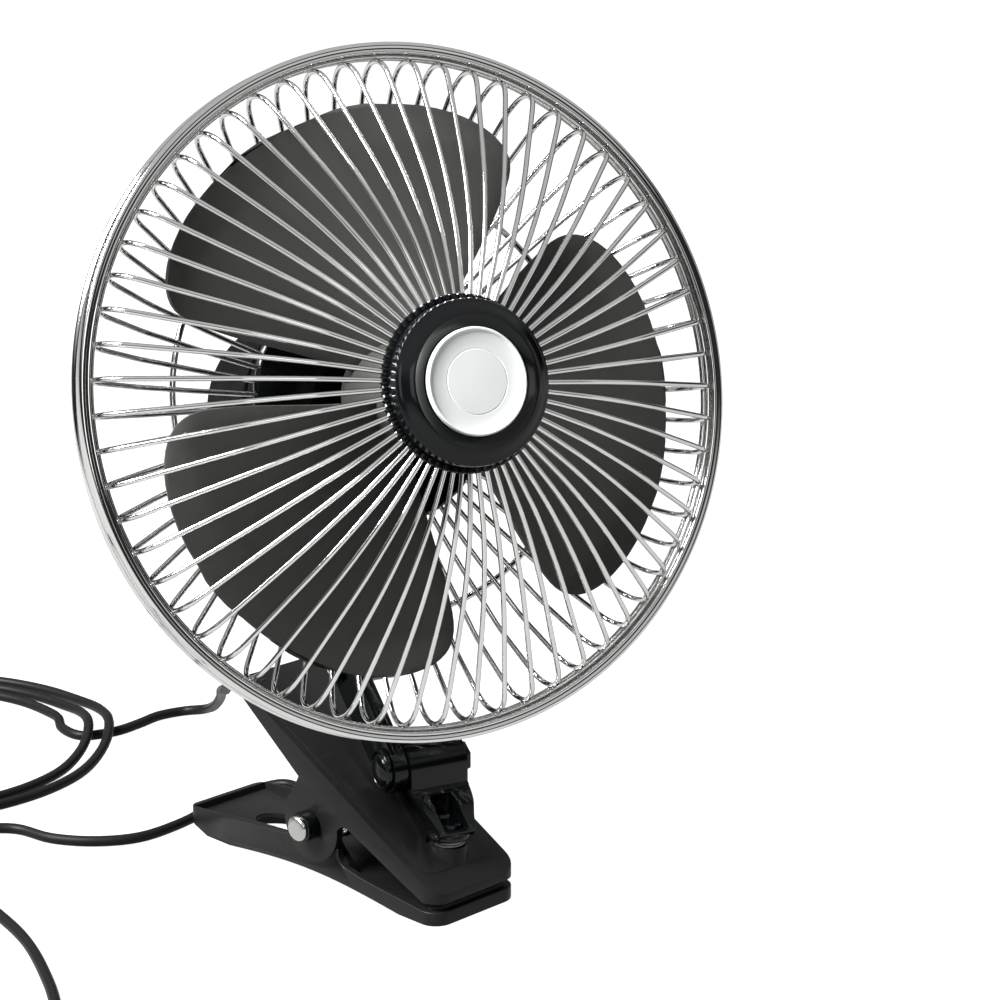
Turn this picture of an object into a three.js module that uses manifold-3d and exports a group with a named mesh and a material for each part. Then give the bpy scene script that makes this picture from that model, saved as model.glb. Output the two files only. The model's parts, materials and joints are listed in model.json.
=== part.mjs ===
// A small clip-on fan: a sprung clip, a hinged and swivelling neck, a motor housing and a chrome wire guard.
// Millimetres, +Z up. The origin is on the ground under the vertical swivel axis; the jaw tip points along -Y.
import * as THREE from "three";
import { mergeVertices } from "three/addons/utils/BufferGeometryUtils.js";
import Module from "manifold-3d";

const wasm = await Module();
wasm.setup();

const DEGREE = Math.PI / 180;
const MERGE = 1e-4; // vertices closer than this are one
const WIDE = 28; // sides of a wide round
const SMALL = 20; // sides of a small one
const BORE = 12; // sides of a bolt or its hole
const GAP = 0.3; // between pieces that seat on each other
const FIT = 0.3; // round a shank in its hole

// The pose at rest
const PAN = -19.2 * DEGREE; // the fan's turn about the swivel axis
const LINK_LEAN = 35 * DEGREE; // the link above the horizontal
const TILT = 15.65 * DEGREE; // the fan's axis above the horizontal

// The clip
const CLIP_WIDTH = 36;
const TIP_Y = -12.5;
const LOWER_END_Y = 104.5;
const UPPER_END_Y = 77;
const WALL = 2.5; // of both jaws' sides
const RIDGE_Z = 10.6; // the upper jaw's top at the tip
const RIDGE_SLOPE = 0.5436;
const TOP_PLATE = 3; // the upper jaw's plate, measured straight down
const PIVOT_Y = 42.7;
const PIVOT_Z = 19;
const CHEEK_R = 12; // the upper jaw's round cheek about the pivot
const LUG_R = 6.6; // the lower jaw's lug about the pivot
const FLOOR_Z = 4.7; // top of the lower jaw's floor at its tip
const MOUTH = 1.7; // between the bare jaw faces at the tip
const PAD = 0.7;
const PAD_LENGTH = 6;
const TIP_ROUND = 6;
const END_ROUND = 4;
const PIN_R = 2;
const COLLAR_R = 4.7;
const COLLAR_LENGTH = 4.6;
const CAP_R = 4;
const CAP_LENGTH = 1.6;
const NUT_R = 4.6; // across the corners
const NUT_LENGTH = 3;
const HANDLE_HOLE = [74, 7, 13]; // centre along Y, half width, half length

// The torsion spring round the pin
const SPRING_WIRE = 1.8;
const SPRING_R = 6.5; // to the wire's middle
const SPRING_TURNS = 5;
const SPRING_PITCH = 2.4;
const SPRING_REACH = 21; // how far its legs run back from the pivot
const CURL_STEPS = 8;

// The swivel stack on the upper jaw
const BOSS_R = 5.8;
const BOSS_Z = 19.4;
const WASHER_R = 5;
const WASHER = 0.8;
const FLANGE_R = 6.5;
const FLANGE_Z = 21.4;
const FLANGE = 2.6;
const STUD_R = 2.2;
const KNUCKLE_R = 8.5; // round the lower bolt
const KNUCKLE_LEFT = -8;
const KNUCKLE_RIGHT = 11;
const WEB_HALF = 5.5;
const WEB_TOP_Z = 35;
const PLATE_CLEARANCE = 2.8; // under the knuckle, above the sloping plate
const LOWER_BOLT_Y = 17.7;
const LOWER_BOLT_Z = 39.5;

// The link and its bolts
const LINK_LENGTH = 43;
const LINK_HALF = 7.6;
const LINK_THICK = 4.7;
const BOLT_R = 2.5;
const BOLT_HEAD_R = 6.5;
const BOLT_HEAD = 2.4;
const BOLT_NUT_R = 5;

// The fan head, about the middle of its rim: the upper bolt lies behind and below it
const RIM_R = 105;
const BOLT_BEHIND = 52.4;
const BOLT_BELOW = RIM_R - 25.1;
const RIM_WIDTH = 9;
const RIM_WEB = 2.6;
const RIM_LIP = 1;
const RIM_LIP_WIDTH = 1.2;
const RING_R = RIM_R - RIM_WEB - 1.4; // the ring wires in the rim
const RING_WIRE = [1.15, 1]; // half its height and half its width
const RING_H = 1.4;
const SPOKES = 61;
const SPOKE_HALF = 0.75; // half of its square wire
const SPOKE_PHASE = 95.5 * DEGREE;
const MID_RING_R = RING_R - 33.4;
const MID_RING_H = -23.7; // on the rear of the rear spokes

// The hub ring and its bare disc
const HUB_R = 24.4;
const HUB_BACK_H = 35.5;
const HUB_FACE_H = 44.6;
const HUB_WALL = 2.2;
const DISC_R = 15.7;
const DISC_H = 46.5;
const DISC_THICK = 1.4;
const DISC_STEP_R = 9.5;

// The guard's spokes, from the hub ring or the rear plate out to the ring wires, as radius and height
const SPOKE_BEND = [RING_R - 0.7, RING_H + 2.8];
const GUARD_FRONT = [
  [HUB_R + 0.6, HUB_BACK_H + 1.5],
  [RING_R - 57, HUB_BACK_H - 1.5],
  [RING_R - 39, HUB_BACK_H - 8.5],
  [RING_R - 23, HUB_BACK_H - 17.5],
  SPOKE_BEND,
  [RING_R, RING_H],
];

// The rotor
const BLADES = 3;
const BLADE_PHASE = 107.7 * DEGREE;
const BLADE_THICK = 1.7;
const BLADE_ROOT_R = 14;
const BLADE_TIP_R = RING_R - 14.5;
const BLADE_RISE = 9.5; // behind and ahead of the blade's middle
const ROTOR_HUB_R = 17;
const ROTOR_HUB_FRONT = 15;
const ROTOR_HUB_BACK = -15;
const SHAFT_R = 1.5;
const SPINNER_R = 5;
const SPINNER = 4;

// The motor and its housing, behind the guard
const PLATE_R = 40;
const PLATE_THICK = 2.4;
const PLATE_H = -26.8;
const GUARD_REAR = [
  [PLATE_R + 0.6, PLATE_H - 1.2],
  [RING_R - 39, PLATE_H + 3.4],
  [RING_R - 21, PLATE_H + 9.8],
  [SPOKE_BEND[0], -SPOKE_BEND[1]],
  [RING_R, -RING_H],
];
const HOUSING_R = 31.5;
const HOUSING_WALL = 2;
const HOUSING_FRONT_H = -30;
const SEAM_H = -57;
const SEAM = 3;
const HOUSING_BACK_H = -100;
const HOUSING_ROUND = 9;
const MOTOR_R = 16;
const MOTOR_FRONT_H = -42;
const MOTOR_BACK_H = -84;
const SCREW_R = 1.5;
const SCREW_HEAD_R = 2.8;
const SCREW_CIRCLE_R = 25.5;
const SCREWS = 3;
const NECK_HALF = 8;
const NECK_FRONT_H = -43;
const NECK_BACK_H = -66;
const NECK_LUG_R = 8;
const NECK_SHOULDER = 8; // below the housing
const SWITCH_WIDTH = 12;
const SWITCH_HEIGHT = 19;
const ROCKER_TILT = 7 * DEGREE;

// The cord and what is on it
const CORD_R = 1.75;
const CORD_Z = CORD_R + 0.05;
const COIL_CENTRE = [-39.5, 235];
const COIL_OUTER_R = 79;
const COIL_PITCH = 7.2;
const COIL_LOOPS = 3;
const COIL_START = -8 * DEGREE;
const COIL_END = 190 * DEGREE;
const LOOP_STEPS = 24;
const HUMP = 2 * CORD_R + 1; // the loops' rise over the strand under them
const HUMP_AT = -35 * DEGREE;
const HUMP_SPREAD = 20 * DEGREE;
const EXIT = [-10, UPPER_END_Y + 3, 54]; // the outer face of the strain relief
const RELIEF_R = 3.2;
const RELIEF_LENGTH = 7;
const PLUG_R = 4.6;
const PLUG_BODY = 24;
const PLUG_X = 26;
const PLUG_Y = 88;
const BARREL_R = 2.75;
const BARREL = 9.5;

const RIDGE = (y) => RIDGE_Z + (y - TIP_Y) * RIDGE_SLOPE;

// ---------------------------------------------------------------- solids

function solidOf(geometry) {
  const bare = geometry.clone();
  bare.deleteAttribute("normal");
  bare.deleteAttribute("uv");
  const merged = mergeVertices(bare, MERGE);
  const corners = merged.index.array;
  const kept = [];
  for (let i = 0; i < corners.length; i += 3) {
    const [a, b, c] = [corners[i], corners[i + 1], corners[i + 2]];
    if (a !== b && b !== c && c !== a) kept.push(a, b, c);
  }
  const vertProperties = merged.attributes.position.array;
  const build = (list) =>
    new wasm.Manifold(new wasm.Mesh({ numProp: 3, vertProperties, triVerts: new Uint32Array(list) }));
  const made = build(kept);
  return made.volume() < 0 ? build(kept.reverse()) : made;
}

const join = (...solids) => solids.reduce((all, next) => all.add(next));

const cut = (solid, ...tools) => tools.reduce((left, tool) => left.subtract(tool), solid);

function placed(geometry, matrix) {
  return solidOf(geometry.clone().applyMatrix4(matrix));
}

const at = (x, y, z) => new THREE.Matrix4().makeTranslation(x, y, z);

// A box between two corners.
function box(low, high) {
  const size = high.map((value, i) => value - low[i]);
  const middle = high.map((value, i) => (value + low[i]) / 2);
  return placed(new THREE.BoxGeometry(...size), at(...middle));
}

// A round bar along one axis from a to b; its centre on the other two axes is (u, v).
function bar(axis, a, b, r, u = 0, v = 0, sides = SMALL) {
  const geometry = new THREE.CylinderGeometry(r, r, b - a, sides);
  const middle = (a + b) / 2;
  if (axis === "x") return placed(geometry.rotateZ(-Math.PI / 2), at(middle, u, v));
  if (axis === "y") return placed(geometry, at(u, middle, v));
  return placed(geometry.rotateX(Math.PI / 2), at(u, v, middle));
}

const nut = (axis, a, b, r, hole, u = 0, v = 0) =>
  cut(bar(axis, a, b, r, u, v, 6), bar(axis, a - 1, b + 1, hole, u, v, BORE));

const washer = (axis, a, b, r, hole, u = 0, v = 0) =>
  cut(bar(axis, a, b, r, u, v), bar(axis, a - 1, b + 1, hole, u, v, BORE));

// An outline of (y, z) points drawn out along X.
function slab(points, x0, x1) {
  const shape = new THREE.Shape(points.map(([y, z]) => new THREE.Vector2(y, z)));
  const geometry = new THREE.ExtrudeGeometry(shape, { depth: x1 - x0, bevelEnabled: false });
  const turn = new THREE.Matrix4().makeBasis(
    new THREE.Vector3(0, 1, 0),
    new THREE.Vector3(0, 0, 1),
    new THREE.Vector3(1, 0, 0),
  );
  return placed(geometry, at(x0, 0, 0).multiply(turn));
}

// Points of an arc about (y, z).
function arc(y, z, r, from, to, steps) {
  return Array.from({ length: steps + 1 }, (_, i) => {
    const angle = (from + ((to - from) * i) / steps) * DEGREE;
    return [y + r * Math.cos(angle), z + r * Math.sin(angle)];
  });
}

// A profile of (radius, forward) points turned about the fan's axis; forward is -Y in the fan's frame.
function turned(profile, segments, close = true) {
  const points = profile.map(([r, h]) => new THREE.Vector2(r, -h));
  if (close) points.push(points[0].clone());
  return solidOf(new THREE.LatheGeometry(points, segments));
}

function roundSection(r, sides) {
  const corner = (_, i) =>
    new THREE.Vector2(r * Math.cos((2 * Math.PI * i) / sides), r * Math.sin((2 * Math.PI * i) / sides));
  return new THREE.Shape(Array.from({ length: sides }, corner));
}

// A tube of even steps along a smooth curve through the points.
function tube(points, r, sides, steps) {
  const curve = new THREE.CatmullRomCurve3(points.map((p) => new THREE.Vector3(...p)), false, "centripetal");
  const settings = { extrudePath: curve, steps, bevelEnabled: false };
  return solidOf(new THREE.ExtrudeGeometry(roundSection(r, sides), settings));
}

// The plan of a jaw: rounded corners, so many at each end, drawn out along Z.
function plan(y0, y1, halfFront, halfBack, roundFront, roundBack) {
  const shape = new THREE.Shape();
  shape.moveTo(-halfFront + roundFront, y0);
  shape.lineTo(halfFront - roundFront, y0);
  shape.quadraticCurveTo(halfFront, y0, halfFront, y0 + roundFront);
  shape.lineTo(halfBack, y1 - roundBack);
  shape.quadraticCurveTo(halfBack, y1, halfBack - roundBack, y1);
  shape.lineTo(-halfBack + roundBack, y1);
  shape.quadraticCurveTo(-halfBack, y1, -halfBack, y1 - roundBack);
  shape.lineTo(-halfFront, y0 + roundFront);
  shape.quadraticCurveTo(-halfFront, y0, -halfFront + roundFront, y0);
  const height = 90;
  const settings = { depth: height, bevelEnabled: false, curveSegments: 5 };
  return placed(new THREE.ExtrudeGeometry(shape, settings), at(0, 0, -10));
}

// ---------------------------------------------------------------- the clip

const HALF = CLIP_WIDTH / 2;
const UPPER_FACE_Z = FLOOR_Z + MOUTH;
const CHEEK_INNER = HALF - WALL;
const LUG_OUTER = CHEEK_INNER - GAP;
const LUG_INNER = LUG_OUTER - WALL;

function upperJaw() {
  const outline = [
    [TIP_Y, UPPER_FACE_Z],
    [TIP_Y + PAD_LENGTH, UPPER_FACE_Z],
    [25.6, 22.3],
    ...arc(PIVOT_Y, PIVOT_Z, CHEEK_R, 190, 376, 14),
    [48, 33.3],
    [UPPER_END_Y - 1.8, RIDGE(UPPER_END_Y) - 5.2],
    [UPPER_END_Y, RIDGE(UPPER_END_Y) - 1],
    [UPPER_END_Y - 0.6, RIDGE(UPPER_END_Y)],
    [TIP_Y, RIDGE_Z],
  ];
  const hollow = [
    [4, -5],
    [4, RIDGE(4) - TOP_PLATE],
    [UPPER_END_Y - 3, RIDGE(UPPER_END_Y - 3) - TOP_PLATE],
    [UPPER_END_Y - 3, -5],
  ];
  const body = slab(outline, -HALF, HALF).intersect(
    plan(TIP_Y, UPPER_END_Y, HALF, HALF, TIP_ROUND, END_ROUND),
  );
  const boss = bar("z", BOSS_Z - 6, BOSS_Z, BOSS_R);
  const seat = bar("z", BOSS_Z, BOSS_Z + 9, FLANGE_R + 0.4, 0, 0, WIDE);
  const pocket = bar("z", -5, BOSS_Z - 6, NUT_R + 1.2);
  return cut(
    join(cut(body, slab(hollow, -CHEEK_INNER, CHEEK_INNER)), boss),
    seat,
    pocket,
    bar("z", -5, 30, STUD_R + FIT, 0, 0, BORE),
    bar("x", -HALF - 1, HALF + 1, PIN_R + FIT, PIVOT_Y, PIVOT_Z, BORE),
    bar("y", UPPER_END_Y - 12, UPPER_END_Y + 9, RELIEF_R + GAP, EXIT[0], EXIT[2], SMALL),
  );
}

function lowerJaw() {
  const arch = Array.from({ length: 9 }, (_, i) => {
    const share = i / 8;
    return [4 + 80 * share, 3 * Math.sin(Math.PI * share)];
  });
  const outline = [
    [TIP_Y, 0],
    ...arch,
    [95, 0],
    [LOWER_END_Y, 3.4],
    [LOWER_END_Y, 8.3],
    [96, 9],
    [74, 11.2],
    [54, 12.7],
    [28, 9.6],
    [TIP_Y + PAD_LENGTH, FLOOR_Z],
    [TIP_Y, FLOOR_Z],
  ];
  const hollow = [
    [2, 20],
    [2, FLOOR_Z - 0.2],
    [24, 5.4],
    [62, 5],
    [96, 5.4],
    [LOWER_END_Y - WALL, 6.4],
    [LOWER_END_Y - WALL, 20],
  ];
  const lug = [
    [27, 4.4],
    [58, 4.4],
    [56, 10],
    ...arc(PIVOT_Y, PIVOT_Z, LUG_R, -20, 200, 10),
    [29, 9],
  ];
  const recess = slab(arc(PIVOT_Y, PIVOT_Z, CHEEK_R + 1, 0, 337.5, 15), LUG_OUTER, HALF + 1);
  const recessLeft = slab(arc(PIVOT_Y, PIVOT_Z, CHEEK_R + 1, 0, 337.5, 15), -HALF - 1, -LUG_OUTER);
  const body = slab(outline, -HALF, HALF).intersect(
    plan(TIP_Y, LOWER_END_Y, HALF, HALF - 2, TIP_ROUND, END_ROUND),
  );
  const inner = LUG_OUTER;
  const [holeY, holeHalf, holeLength] = HANDLE_HOLE;
  const hole = new THREE.CylinderGeometry(1, 1, 20, 20).rotateX(Math.PI / 2);
  hole.scale(holeHalf, holeLength, 1);
  return cut(
    join(
      cut(body, slab(hollow, -inner, inner), recess, recessLeft),
      slab(lug, LUG_INNER, LUG_OUTER),
      slab(lug, -LUG_OUTER, -LUG_INNER),
    ),
    placed(hole, at(0, holeY, 5)),
    bar("x", -HALF - 1, HALF + 1, PIN_R + FIT, PIVOT_Y, PIVOT_Z, BORE),
  );
}

function jawPad(bottom) {
  const inset = 0.5;
  const outline = plan(TIP_Y + inset, UPPER_END_Y, HALF - inset, HALF - inset, TIP_ROUND - inset, inset);
  const length = PAD_LENGTH - inset;
  return box([-HALF, TIP_Y, bottom], [HALF, TIP_Y + length, bottom + PAD]).intersect(outline);
}

// The legs run back from the coil, one under the upper plate and one over the lower floor.
function springWire() {
  const upper = [SPRING_REACH, RIDGE(PIVOT_Y + SPRING_REACH) - TOP_PLATE - 2 - PIVOT_Z];
  const lower = [SPRING_REACH, 5 + SPRING_WIRE / 2 + GAP + 0.2 - PIVOT_Z];
  const touch = ([y, z], side) => Math.atan2(z, y) + side * Math.acos(SPRING_R / Math.hypot(y, z));
  const start = touch(upper, 1);
  const end = touch(lower, -1) + 2 * Math.PI * (SPRING_TURNS + 1);
  const sweep = end - start;
  const steps = Math.round((sweep / (2 * Math.PI)) * CURL_STEPS);
  const half = (SPRING_PITCH * sweep) / (4 * Math.PI);
  const point = (x, y, z) => [x, PIVOT_Y + y, PIVOT_Z + z];
  const coil = Array.from({ length: steps + 1 }, (_, i) => {
    const angle = start + (sweep * i) / steps;
    return point(-half + (2 * half * i) / steps, SPRING_R * Math.cos(angle), SPRING_R * Math.sin(angle));
  });
  return [point(-half, ...upper), ...coil, point(half, ...lower)];
}

// ---------------------------------------------------------------- the swivel knuckle and the link

function knuckle() {
  const under = (y) => RIDGE(y) + PLATE_CLEARANCE;
  const back = LOWER_BOLT_Y + KNUCKLE_R;
  const web = [
    [-3, FLANGE_Z],
    [3, FLANGE_Z],
    [back, under(back)],
    [back, WEB_TOP_Z + 3],
    [LOWER_BOLT_Y - KNUCKLE_R + 0.4, WEB_TOP_Z + 3],
    [5.5, FLANGE_Z + FLANGE],
    [-3, FLANGE_Z + FLANGE],
  ];
  const head = [
    [LOWER_BOLT_Y - KNUCKLE_R, WEB_TOP_Z],
    [back, WEB_TOP_Z - 0.5],
    ...arc(LOWER_BOLT_Y, LOWER_BOLT_Z, KNUCKLE_R, 0, 180, 14),
  ];
  return cut(
    join(
      bar("z", FLANGE_Z, FLANGE_Z + FLANGE, FLANGE_R, 0, 0, WIDE),
      slab(web, -WEB_HALF, WEB_HALF),
      slab(head, KNUCKLE_LEFT, KNUCKLE_RIGHT),
    ),
    bar("z", FLANGE_Z - 1, FLANGE_Z + FLANGE + 1, STUD_R + FIT, 0, 0, BORE),
    bar("x", KNUCKLE_LEFT - 1, KNUCKLE_RIGHT + 1, BOLT_R + FIT, LOWER_BOLT_Y, LOWER_BOLT_Z, BORE),
  );
}

// In the link's own frame the lower bolt is the origin and the upper one lies along Y.
function linkBar() {
  const outer = KNUCKLE_LEFT - GAP;
  const outline = [...arc(LINK_LENGTH, 0, LINK_HALF, -90, 90, 10), ...arc(0, 0, LINK_HALF, 90, 270, 10)];
  return cut(
    slab(outline, outer - LINK_THICK, outer),
    bar("x", outer - 20, 20, BOLT_R + FIT, 0, 0, BORE),
    bar("x", outer - 20, 20, BOLT_R + FIT, LINK_LENGTH, 0, BORE),
  );
}

// A bolt with a low domed and slotted head outside the link.
function hingeBolt(end, y, z) {
  const seat = KNUCKLE_LEFT - GAP - LINK_THICK - GAP;
  const face = seat - BOLT_HEAD;
  const shank = bar("x", seat - 0.5, end, BOLT_R, y, z, BORE);
  const rim = bar("x", seat - BOLT_HEAD * 0.5, seat, BOLT_HEAD_R, y, z);
  const dome = new THREE.CylinderGeometry(BOLT_HEAD_R * 0.6, BOLT_HEAD_R, BOLT_HEAD * 0.5, SMALL).rotateZ(Math.PI / 2);
  const slot = box([face - 1, y - BOLT_HEAD_R, z - 0.6], [face + 0.8, y + BOLT_HEAD_R, z + 0.6]);
  return cut(join(shank, rim, placed(dome, at(seat - BOLT_HEAD * 0.75, y, z))), slot);
}

// ---------------------------------------------------------------- the guard

function rimBand() {
  const edge = RIM_WIDTH / 2;
  const web = RIM_R - RIM_WEB;
  const lip = web - RIM_LIP;
  return turned(
    [
      [RIM_R, -edge + 1],
      [RIM_R, edge - 1],
      [lip, edge],
      [lip, edge - RIM_LIP_WIDTH],
      [web, edge - RIM_LIP_WIDTH],
      [web, -edge + RIM_LIP_WIDTH],
      [lip, -edge + RIM_LIP_WIDTH],
      [lip, -edge],
    ],
    SPOKES,
  );
}

// A ring of square wire whose flats meet the spokes.
function ringWire(r, h, halfR, halfH) {
  const corners = [[halfR, halfH], [-halfR, halfH], [-halfR, -halfH], [halfR, -halfH], [halfR, halfH]];
  const points = corners.map(([dr, dh]) => new THREE.Vector2(r + dr, -h - dh));
  const start = Math.PI / 2 - SPOKE_PHASE - Math.PI / SPOKES;
  return solidOf(new THREE.LatheGeometry(points, SPOKES, start));
}

// The outline of a wire that follows a profile of (radius, forward) points.
function wireOutline(profile, half) {
  const points = profile.map(([r, h]) => new THREE.Vector2(r, -h));
  const edge = (side) =>
    points.map((point, i) => {
      const before = points[Math.max(i - 1, 0)];
      const after = points[Math.min(i + 1, points.length - 1)];
      const along = after.clone().sub(before).normalize();
      return new THREE.Vector2(point.x - side * half * along.y, point.y + side * half * along.x);
    });
  return new THREE.Shape([...edge(1), ...edge(-1).reverse()]);
}

// All of a guard's wires: a spoke in the plane of the axis, repeated round it, on its rim ring.
function guard(profile, ring) {
  const settings = { depth: 2 * SPOKE_HALF, bevelEnabled: false };
  const spoke = new THREE.ExtrudeGeometry(wireOutline(profile, SPOKE_HALF), settings);
  spoke.translate(0, 0, -SPOKE_HALF);
  const turn = new THREE.Matrix4();
  const spokes = Array.from({ length: SPOKES }, (_, i) =>
    placed(spoke, turn.makeRotationY(-SPOKE_PHASE - (2 * Math.PI * i) / SPOKES)),
  );
  return join(ring, ...spokes);
}

const hubRing = () =>
  turned(
    [
      [HUB_R, HUB_BACK_H],
      [HUB_R, HUB_FACE_H - 1.5],
      [HUB_R - 1.4, HUB_FACE_H],
      [DISC_R + 1.4, DISC_H],
      [DISC_R + GAP, DISC_H],
      [DISC_R + GAP, DISC_H - DISC_THICK - GAP],
      [DISC_R - HUB_WALL, DISC_H - DISC_THICK - GAP],
      [DISC_R - HUB_WALL, DISC_H - DISC_THICK - GAP - HUB_WALL],
      [HUB_R - HUB_WALL, HUB_FACE_H - HUB_WALL - 2],
      [HUB_R - HUB_WALL, HUB_BACK_H],
    ],
    WIDE,
  );

const badgeDisc = () =>
  turned(
    [
      [0, DISC_H - DISC_THICK],
      [DISC_R, DISC_H - DISC_THICK],
      [DISC_R, DISC_H - 0.3],
      [DISC_R - 0.5, DISC_H],
      [DISC_STEP_R, DISC_H - 0.1],
      [DISC_STEP_R - 0.4, DISC_H - 0.4],
      [0, DISC_H - 0.4],
    ],
    WIDE,
    false,
  );

// ---------------------------------------------------------------- the rotor

// One blade: half its spread in degrees at each radius, the clockwise edge forward.
function blade(centre) {
  const stations = [
    [BLADE_ROOT_R, 34],
    [BLADE_TIP_R - 56.5, 40],
    [BLADE_TIP_R - 40.5, 46],
    [BLADE_TIP_R - 25.5, 49],
    [BLADE_TIP_R - 12.5, 48],
    [BLADE_TIP_R - 4.5, 44],
    [BLADE_TIP_R, 34],
  ];
  const columns = 4;
  const vertices = [];
  for (const side of [-1, 1])
    for (const [r, half] of stations)
      for (let i = 0; i <= columns; i += 1) {
        const share = (2 * i) / columns - 1;
        const angle = centre + share * half * DEGREE;
        const rise = BLADE_RISE * Math.min(1, (BLADE_TIP_R + 22 - r) / 33);
        const h = -rise * share * (1 - 0.12 * share * share) + (side * BLADE_THICK) / 2;
        vertices.push(r * Math.cos(angle), -h, r * Math.sin(angle));
      }
  const row = columns + 1;
  const layer = row * stations.length;
  const faces = [];
  const quad = (a, b, c, d) => faces.push(a, b, c, a, c, d);
  for (let j = 0; j < stations.length - 1; j += 1)
    for (let i = 0; i < columns; i += 1) {
      const k = j * row + i;
      quad(k, k + 1, k + row + 1, k + row);
      quad(layer + k, layer + k + row, layer + k + row + 1, layer + k + 1);
    }
  const rim = [];
  for (let i = 0; i < columns; i += 1) rim.push(i);
  for (let j = 0; j < stations.length - 1; j += 1) rim.push(j * row + columns);
  for (let i = columns; i > 0; i -= 1) rim.push((stations.length - 1) * row + i);
  for (let j = stations.length - 1; j > 0; j -= 1) rim.push(j * row);
  rim.forEach((a, i) => {
    const b = rim[(i + 1) % rim.length];
    quad(b, a, layer + a, layer + b);
  });
  const geometry = new THREE.BufferGeometry();
  geometry.setAttribute("position", new THREE.Float32BufferAttribute(vertices, 3));
  geometry.setIndex(faces);
  return solidOf(geometry);
}

function impeller() {
  const hub = turned(
    [
      [0, ROTOR_HUB_FRONT],
      [ROTOR_HUB_R - 4, ROTOR_HUB_FRONT],
      [ROTOR_HUB_R, ROTOR_HUB_FRONT - 3],
      [ROTOR_HUB_R, ROTOR_HUB_BACK],
      [ROTOR_HUB_R - 2, ROTOR_HUB_BACK],
      [ROTOR_HUB_R - 2, ROTOR_HUB_FRONT - 4],
      [5, ROTOR_HUB_FRONT - 4],
      [5, ROTOR_HUB_BACK],
      [0, ROTOR_HUB_BACK],
    ],
    WIDE,
    false,
  );
  const blades = Array.from({ length: BLADES }, (_, i) => blade(BLADE_PHASE + (2 * Math.PI * i) / BLADES));
  const inside = bar("y", -ROTOR_HUB_FRONT + 4, -ROTOR_HUB_BACK + 9, ROTOR_HUB_R - 2, 0, 0, WIDE);
  const post = bar("y", -ROTOR_HUB_FRONT + 4, -ROTOR_HUB_BACK, 5);
  return cut(
    join(hub, cut(join(...blades), inside), post),
    bar("y", -ROTOR_HUB_FRONT - 1, -ROTOR_HUB_BACK + 1, SHAFT_R + FIT, 0, 0, BORE),
  );
}

const spinner = () =>
  turned(
    [
      [0, ROTOR_HUB_FRONT + SPINNER],
      [SPINNER_R - 2, ROTOR_HUB_FRONT + SPINNER - 0.4],
      [SPINNER_R, ROTOR_HUB_FRONT + SPINNER - 2],
      [SPINNER_R, ROTOR_HUB_FRONT + GAP],
      [SHAFT_R + FIT, ROTOR_HUB_FRONT + GAP],
      [SHAFT_R + FIT, ROTOR_HUB_FRONT + SPINNER - 1.6],
      [0, ROTOR_HUB_FRONT + SPINNER - 1.6],
    ],
    SMALL,
    false,
  );

// ---------------------------------------------------------------- the motor and housing

const alongAxis = (from, to, r, sides = SMALL) => bar("y", -from, -to, r, 0, 0, sides);

function screwPlaces() {
  return Array.from({ length: SCREWS }, (_, i) => {
    const angle = Math.PI / 2 + (2 * Math.PI * i) / SCREWS;
    return [SCREW_CIRCLE_R * Math.cos(angle), SCREW_CIRCLE_R * Math.sin(angle)];
  });
}

function guardPlate() {
  const disc = turned(
    [
      [SHAFT_R + 3, PLATE_H],
      [PLATE_R - 1, PLATE_H],
      [PLATE_R, PLATE_H - 1],
      [PLATE_R, PLATE_H - PLATE_THICK],
      [SHAFT_R + 3, PLATE_H - PLATE_THICK],
    ],
    WIDE,
  );
  return cut(disc, ...screwPlaces().map(([x, z]) => bar("y", 20, 40, SCREW_R + FIT, x, z, BORE)));
}

function housingFront() {
  const shell = turned(
    [
      [SHAFT_R + 3, HOUSING_FRONT_H],
      [HOUSING_R - 2, HOUSING_FRONT_H],
      [HOUSING_R, HOUSING_FRONT_H - 2],
      [HOUSING_R, SEAM_H],
      [HOUSING_R - HOUSING_WALL, SEAM_H],
      [HOUSING_R - HOUSING_WALL, HOUSING_FRONT_H - HOUSING_WALL],
      [SHAFT_R + 3, HOUSING_FRONT_H - HOUSING_WALL],
    ],
    WIDE,
  );
  const bosses = screwPlaces().map(([x, z]) => bar("y", -HOUSING_FRONT_H + 0.5, -HOUSING_FRONT_H + 9, 3.4, x, z, BORE));
  const bores = screwPlaces().map(([x, z]) => bar("y", 20, -HOUSING_FRONT_H + 8, SCREW_R + FIT, x, z, BORE));
  const socket = [MOTOR_R + GAP, MOTOR_R + GAP + 2];
  const cup = turned(
    [
      [socket[1], HOUSING_FRONT_H - 1],
      [socket[1], MOTOR_FRONT_H - 5],
      [socket[0], MOTOR_FRONT_H - 5],
      [socket[0], HOUSING_FRONT_H - 1],
    ],
    WIDE,
  );
  return cut(join(shell, cup, ...bosses), ...bores);
}

const seamRing = () =>
  turned(
    [
      [HOUSING_R - HOUSING_WALL - GAP, SEAM_H + 3],
      [HOUSING_R - HOUSING_WALL - GAP, SEAM_H - SEAM - 3],
      [HOUSING_R - HOUSING_WALL - GAP - 1.6, SEAM_H - SEAM - 3],
      [HOUSING_R - HOUSING_WALL - GAP - 1.6, SEAM_H + 3],
    ],
    WIDE,
  );

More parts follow.
